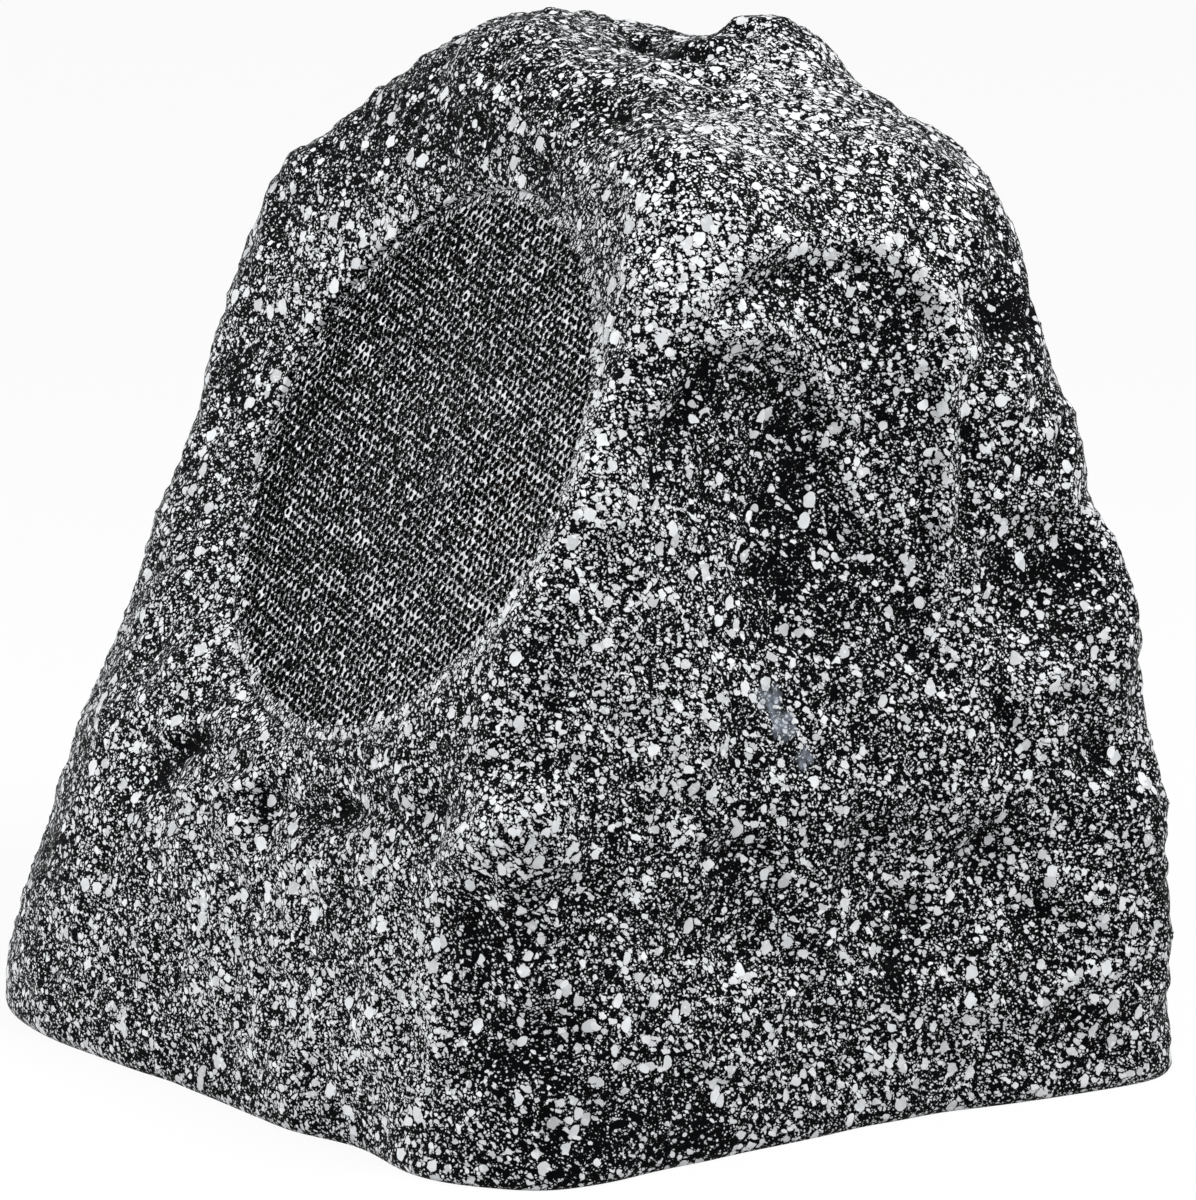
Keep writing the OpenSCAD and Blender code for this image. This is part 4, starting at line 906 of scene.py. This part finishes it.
PLAIN_FINISHES = (
    # name, its two tones, roughness, size and depth of its grain in mm, metallic
    ("closed_cell_foam", "#161617", "#1D1D1F", 0.95, 0.6, 0.25, 0.0),  # die-cut foam: no shine at all, open fine pores
    ("satin_black_paint", "#141516", "#1A1B1D", 0.4, 0.8, 0.05, 0.0),  # baked paint on pressed steel: a soft sheen
    ("zinc_plate", "#A4A7A9", "#B3B6B8", 0.32, 0.5, 0.03, 1.0),  # plated screws: bright grey metal, a little cloudy
    ("butyl_rubber", "#151516", "#1C1C1D", 0.6, 0.7, 0.06, 0.0),  # moulded rubber: black, dull, pale only on its bends
    ("filled_polypropylene", "#1B1C1E", "#232527", 0.5, 0.9, 0.06, 0.0),  # moulded cone: dark grey, a wide faint shine
    ("polyimide_film", "#8A5A1E", "#A06C28", 0.3, 1.5, 0.02, 0.0),  # wound film: smooth amber with clear highlights
    ("sintered_ferrite", "#1C1B1B", "#262525", 0.65, 0.4, 0.08, 0.0),  # pressed and fired powder: charcoal, like slate
    ("turned_steel", "#8F9396", "#A1A5A8", 0.35, 0.6, 0.04, 1.0),  # turned and passivated: grey metal with soft glints
    ("moulded_abs", "#17181A", "#1F2022", 0.48, 0.5, 0.06, 0.0),  # from a textured mould: black, fine and half matt
    ("dome_film", "#7C7F84", "#8A8D92", 0.28, 1.0, 0.02, 0.0),  # thin pressed film: grey and glossy
    ("phenolic_board", "#5A3A1C", "#6B4825", 0.55, 0.7, 0.05, 0.0),  # pressed paper and resin: brown, half matt
    ("tinned_brass", "#C6B36A", "#D4C485", 0.3, 0.6, 0.03, 1.0),  # stamped and tinned: pale gold metal
    ("board_mask", "#1F5A34", "#276A3F", 0.35, 1.2, 0.03, 0.0),  # printed lacquer on glass fibre: an even, glossy green
    ("nylon", "#D8D7CF", "#E4E3DC", 0.45, 0.8, 0.03, 0.0),  # moulded: milky white with a waxy sheen
    ("dipped_blue_film", "#23398C", "#2C46A2", 0.25, 2.0, 0.05, 0.0),  # dipped in resin: glossy blue, slightly wavy
    ("cement_ceramic", "#DDDAD0", "#E9E7DF", 0.8, 0.5, 0.12, 0.0),  # poured cement: chalky off-white, sandy
    ("green_nylon", "#1F6A3A", "#287B46", 0.4, 0.8, 0.04, 0.0),  # moulded: clean green with a soft shine
    ("red_pvc", "#A31E18", "#B52A22", 0.45, 0.8, 0.03, 0.0),  # extruded round the wire: smooth red, half glossy
    ("polyester_felt", "#6E6E69", "#85857F", 0.95, 0.5, 0.4, 0.0),  # needled fibres: grey, fluffy and quite dull
)
finishes = {row[0]: grained(*row) for row in PLAIN_FINISHES}
print("plain finishes:", len(finishes))

# %% [markdown]
# ### Wound wire and woven cloth
#
# Two finishes have a pattern that a grain can't stand for. A coil shows its turns as fine parallel lines, drawn a
# millimetre apart here. That is coarser than the wire of a voice coil, or they could not show. The corrugated disc that
# centres the cone is a yellow cotton cloth with a square weave, whose threads are also drawn coarse.

# %% Wound wire and woven cloth
TURN_GAP, THREAD_GAP, RELIEF = 1.0 * MM, 1.6 * MM, 0.2 * MM

def bands(gap):
    """The scale at which a Wave node, which has a band every pi / 10 units, has its bands this far apart."""
    return 2 * math.pi / (20 * gap)

wire, tree, shader = new_finish("enamelled_copper_wire")  # drawn and varnished: warm metal, dark between its turns
place = add(tree, "ShaderNodeTexCoord").outputs["Object"]
turns = add(tree, "ShaderNodeTexWave", {"Vector": place, "Scale": bands(TURN_GAP), "Distortion": 0.3},
            wave_type="BANDS", bands_direction="Z").outputs["Fac"]
tone = add(tree, "ShaderNodeMix", {"Factor": turns, 6: colour("#7A3C16"), 7: colour("#B9683A")}, data_type="RGBA")
tree.links.new(tone.outputs[2], shader.inputs["Base Color"])
shader.inputs["Metallic"].default_value = 1.0
shader.inputs["Roughness"].default_value = 0.3
bump = add(tree, "ShaderNodeBump", {"Height": turns, "Strength": 0.6, "Distance": RELIEF})
tree.links.new(bump.outputs[0], shader.inputs["Normal"])

cloth, tree, shader = new_finish("dipped_cotton_cloth")  # woven, then dipped in resin: straw yellow, matt, threads show
place = add(tree, "ShaderNodeTexCoord").outputs["Object"]
threads = [add(tree, "ShaderNodeTexWave", {"Vector": place, "Scale": bands(THREAD_GAP)},
               wave_type="BANDS", bands_direction=way).outputs["Fac"] for way in ("X", "Z")]
weave = add(tree, "ShaderNodeMath", {0: threads[0], 1: threads[1]}, operation="MAXIMUM").outputs[0]
tone = add(tree, "ShaderNodeMix", {"Factor": weave, 6: colour("#7A5420"), 7: colour("#C79A4C")}, data_type="RGBA")
tree.links.new(tone.outputs[2], shader.inputs["Base Color"])
shader.inputs["Roughness"].default_value = 0.85
bump = add(tree, "ShaderNodeBump", {"Height": weave, "Strength": 0.6, "Distance": RELIEF})
tree.links.new(bump.outputs[0], shader.inputs["Normal"])
finishes["enamelled_copper_wire"], finishes["dipped_cotton_cloth"] = wire, cloth
print("finishes in all:", len(bpy.data.materials))

# %% [markdown]
# ### Who wears what
#
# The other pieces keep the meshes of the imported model, so each only needs its finish. The list is by finish, because
# pieces that are made the same way share one.

# %% Each piece gets its finish
WORN_BY = {
    "closed_cell_foam": ("grille_gasket", "woofer_gasket", "trim_ring", "base_gasket"),
    "satin_black_paint": ("woofer_basket",),
    "zinc_plate": ("woofer_screws", "base_screws", "board_screws"),
    "butyl_rubber": ("woofer_surround", "rubber_feet", "gland_seal"),
    "filled_polypropylene": ("woofer_cone",),
    "polyimide_film": ("voice_coil_former",),
    "enamelled_copper_wire": ("voice_coil_winding", "inductor_winding"),
    "dipped_cotton_cloth": ("spider",),
    "sintered_ferrite": ("magnet",),
    "turned_steel": ("top_plate", "back_plate", "tweeter_post", "tweeter_magnet"),
    "moulded_abs": ("tweeter_cup", "tweeter_bezel", "base_plate", "gland_body", "gland_cap", "gland_nut",
                    "inductor_bobbin"),
    "dome_film": ("tweeter_dome",),
    "phenolic_board": ("tag_board",),
    "tinned_brass": ("tag_tabs",),
    "board_mask": ("crossover_board",),
    "nylon": ("board_spacers",),
    "dipped_blue_film": ("capacitor",),
    "cement_ceramic": ("resistor",),
    "green_nylon": ("input_terminal",),
    "red_pvc": ("woofer_lead",),
    "polyester_felt": ("damping_mat",),
}
for finish, pieces in WORN_BY.items():
    for piece in pieces:
        nodes[piece].data.materials.clear()
        nodes[piece].data.materials.append(finishes[finish])
dressed = {piece for pieces in WORN_BY.values() for piece in pieces} | {"rock_shell", "grille"}
print("pieces without a finish:", sorted(set(nodes) - dressed))

# %% [markdown]
# ## The solids' box
#
# The box of the imported solids, in millimetres. The finer stone and grille must stay within the
# solids' box.

# %% Sizes and finish
print("CAD box", [[round(x * 1000, 1) for x in c] for c in cad_box])
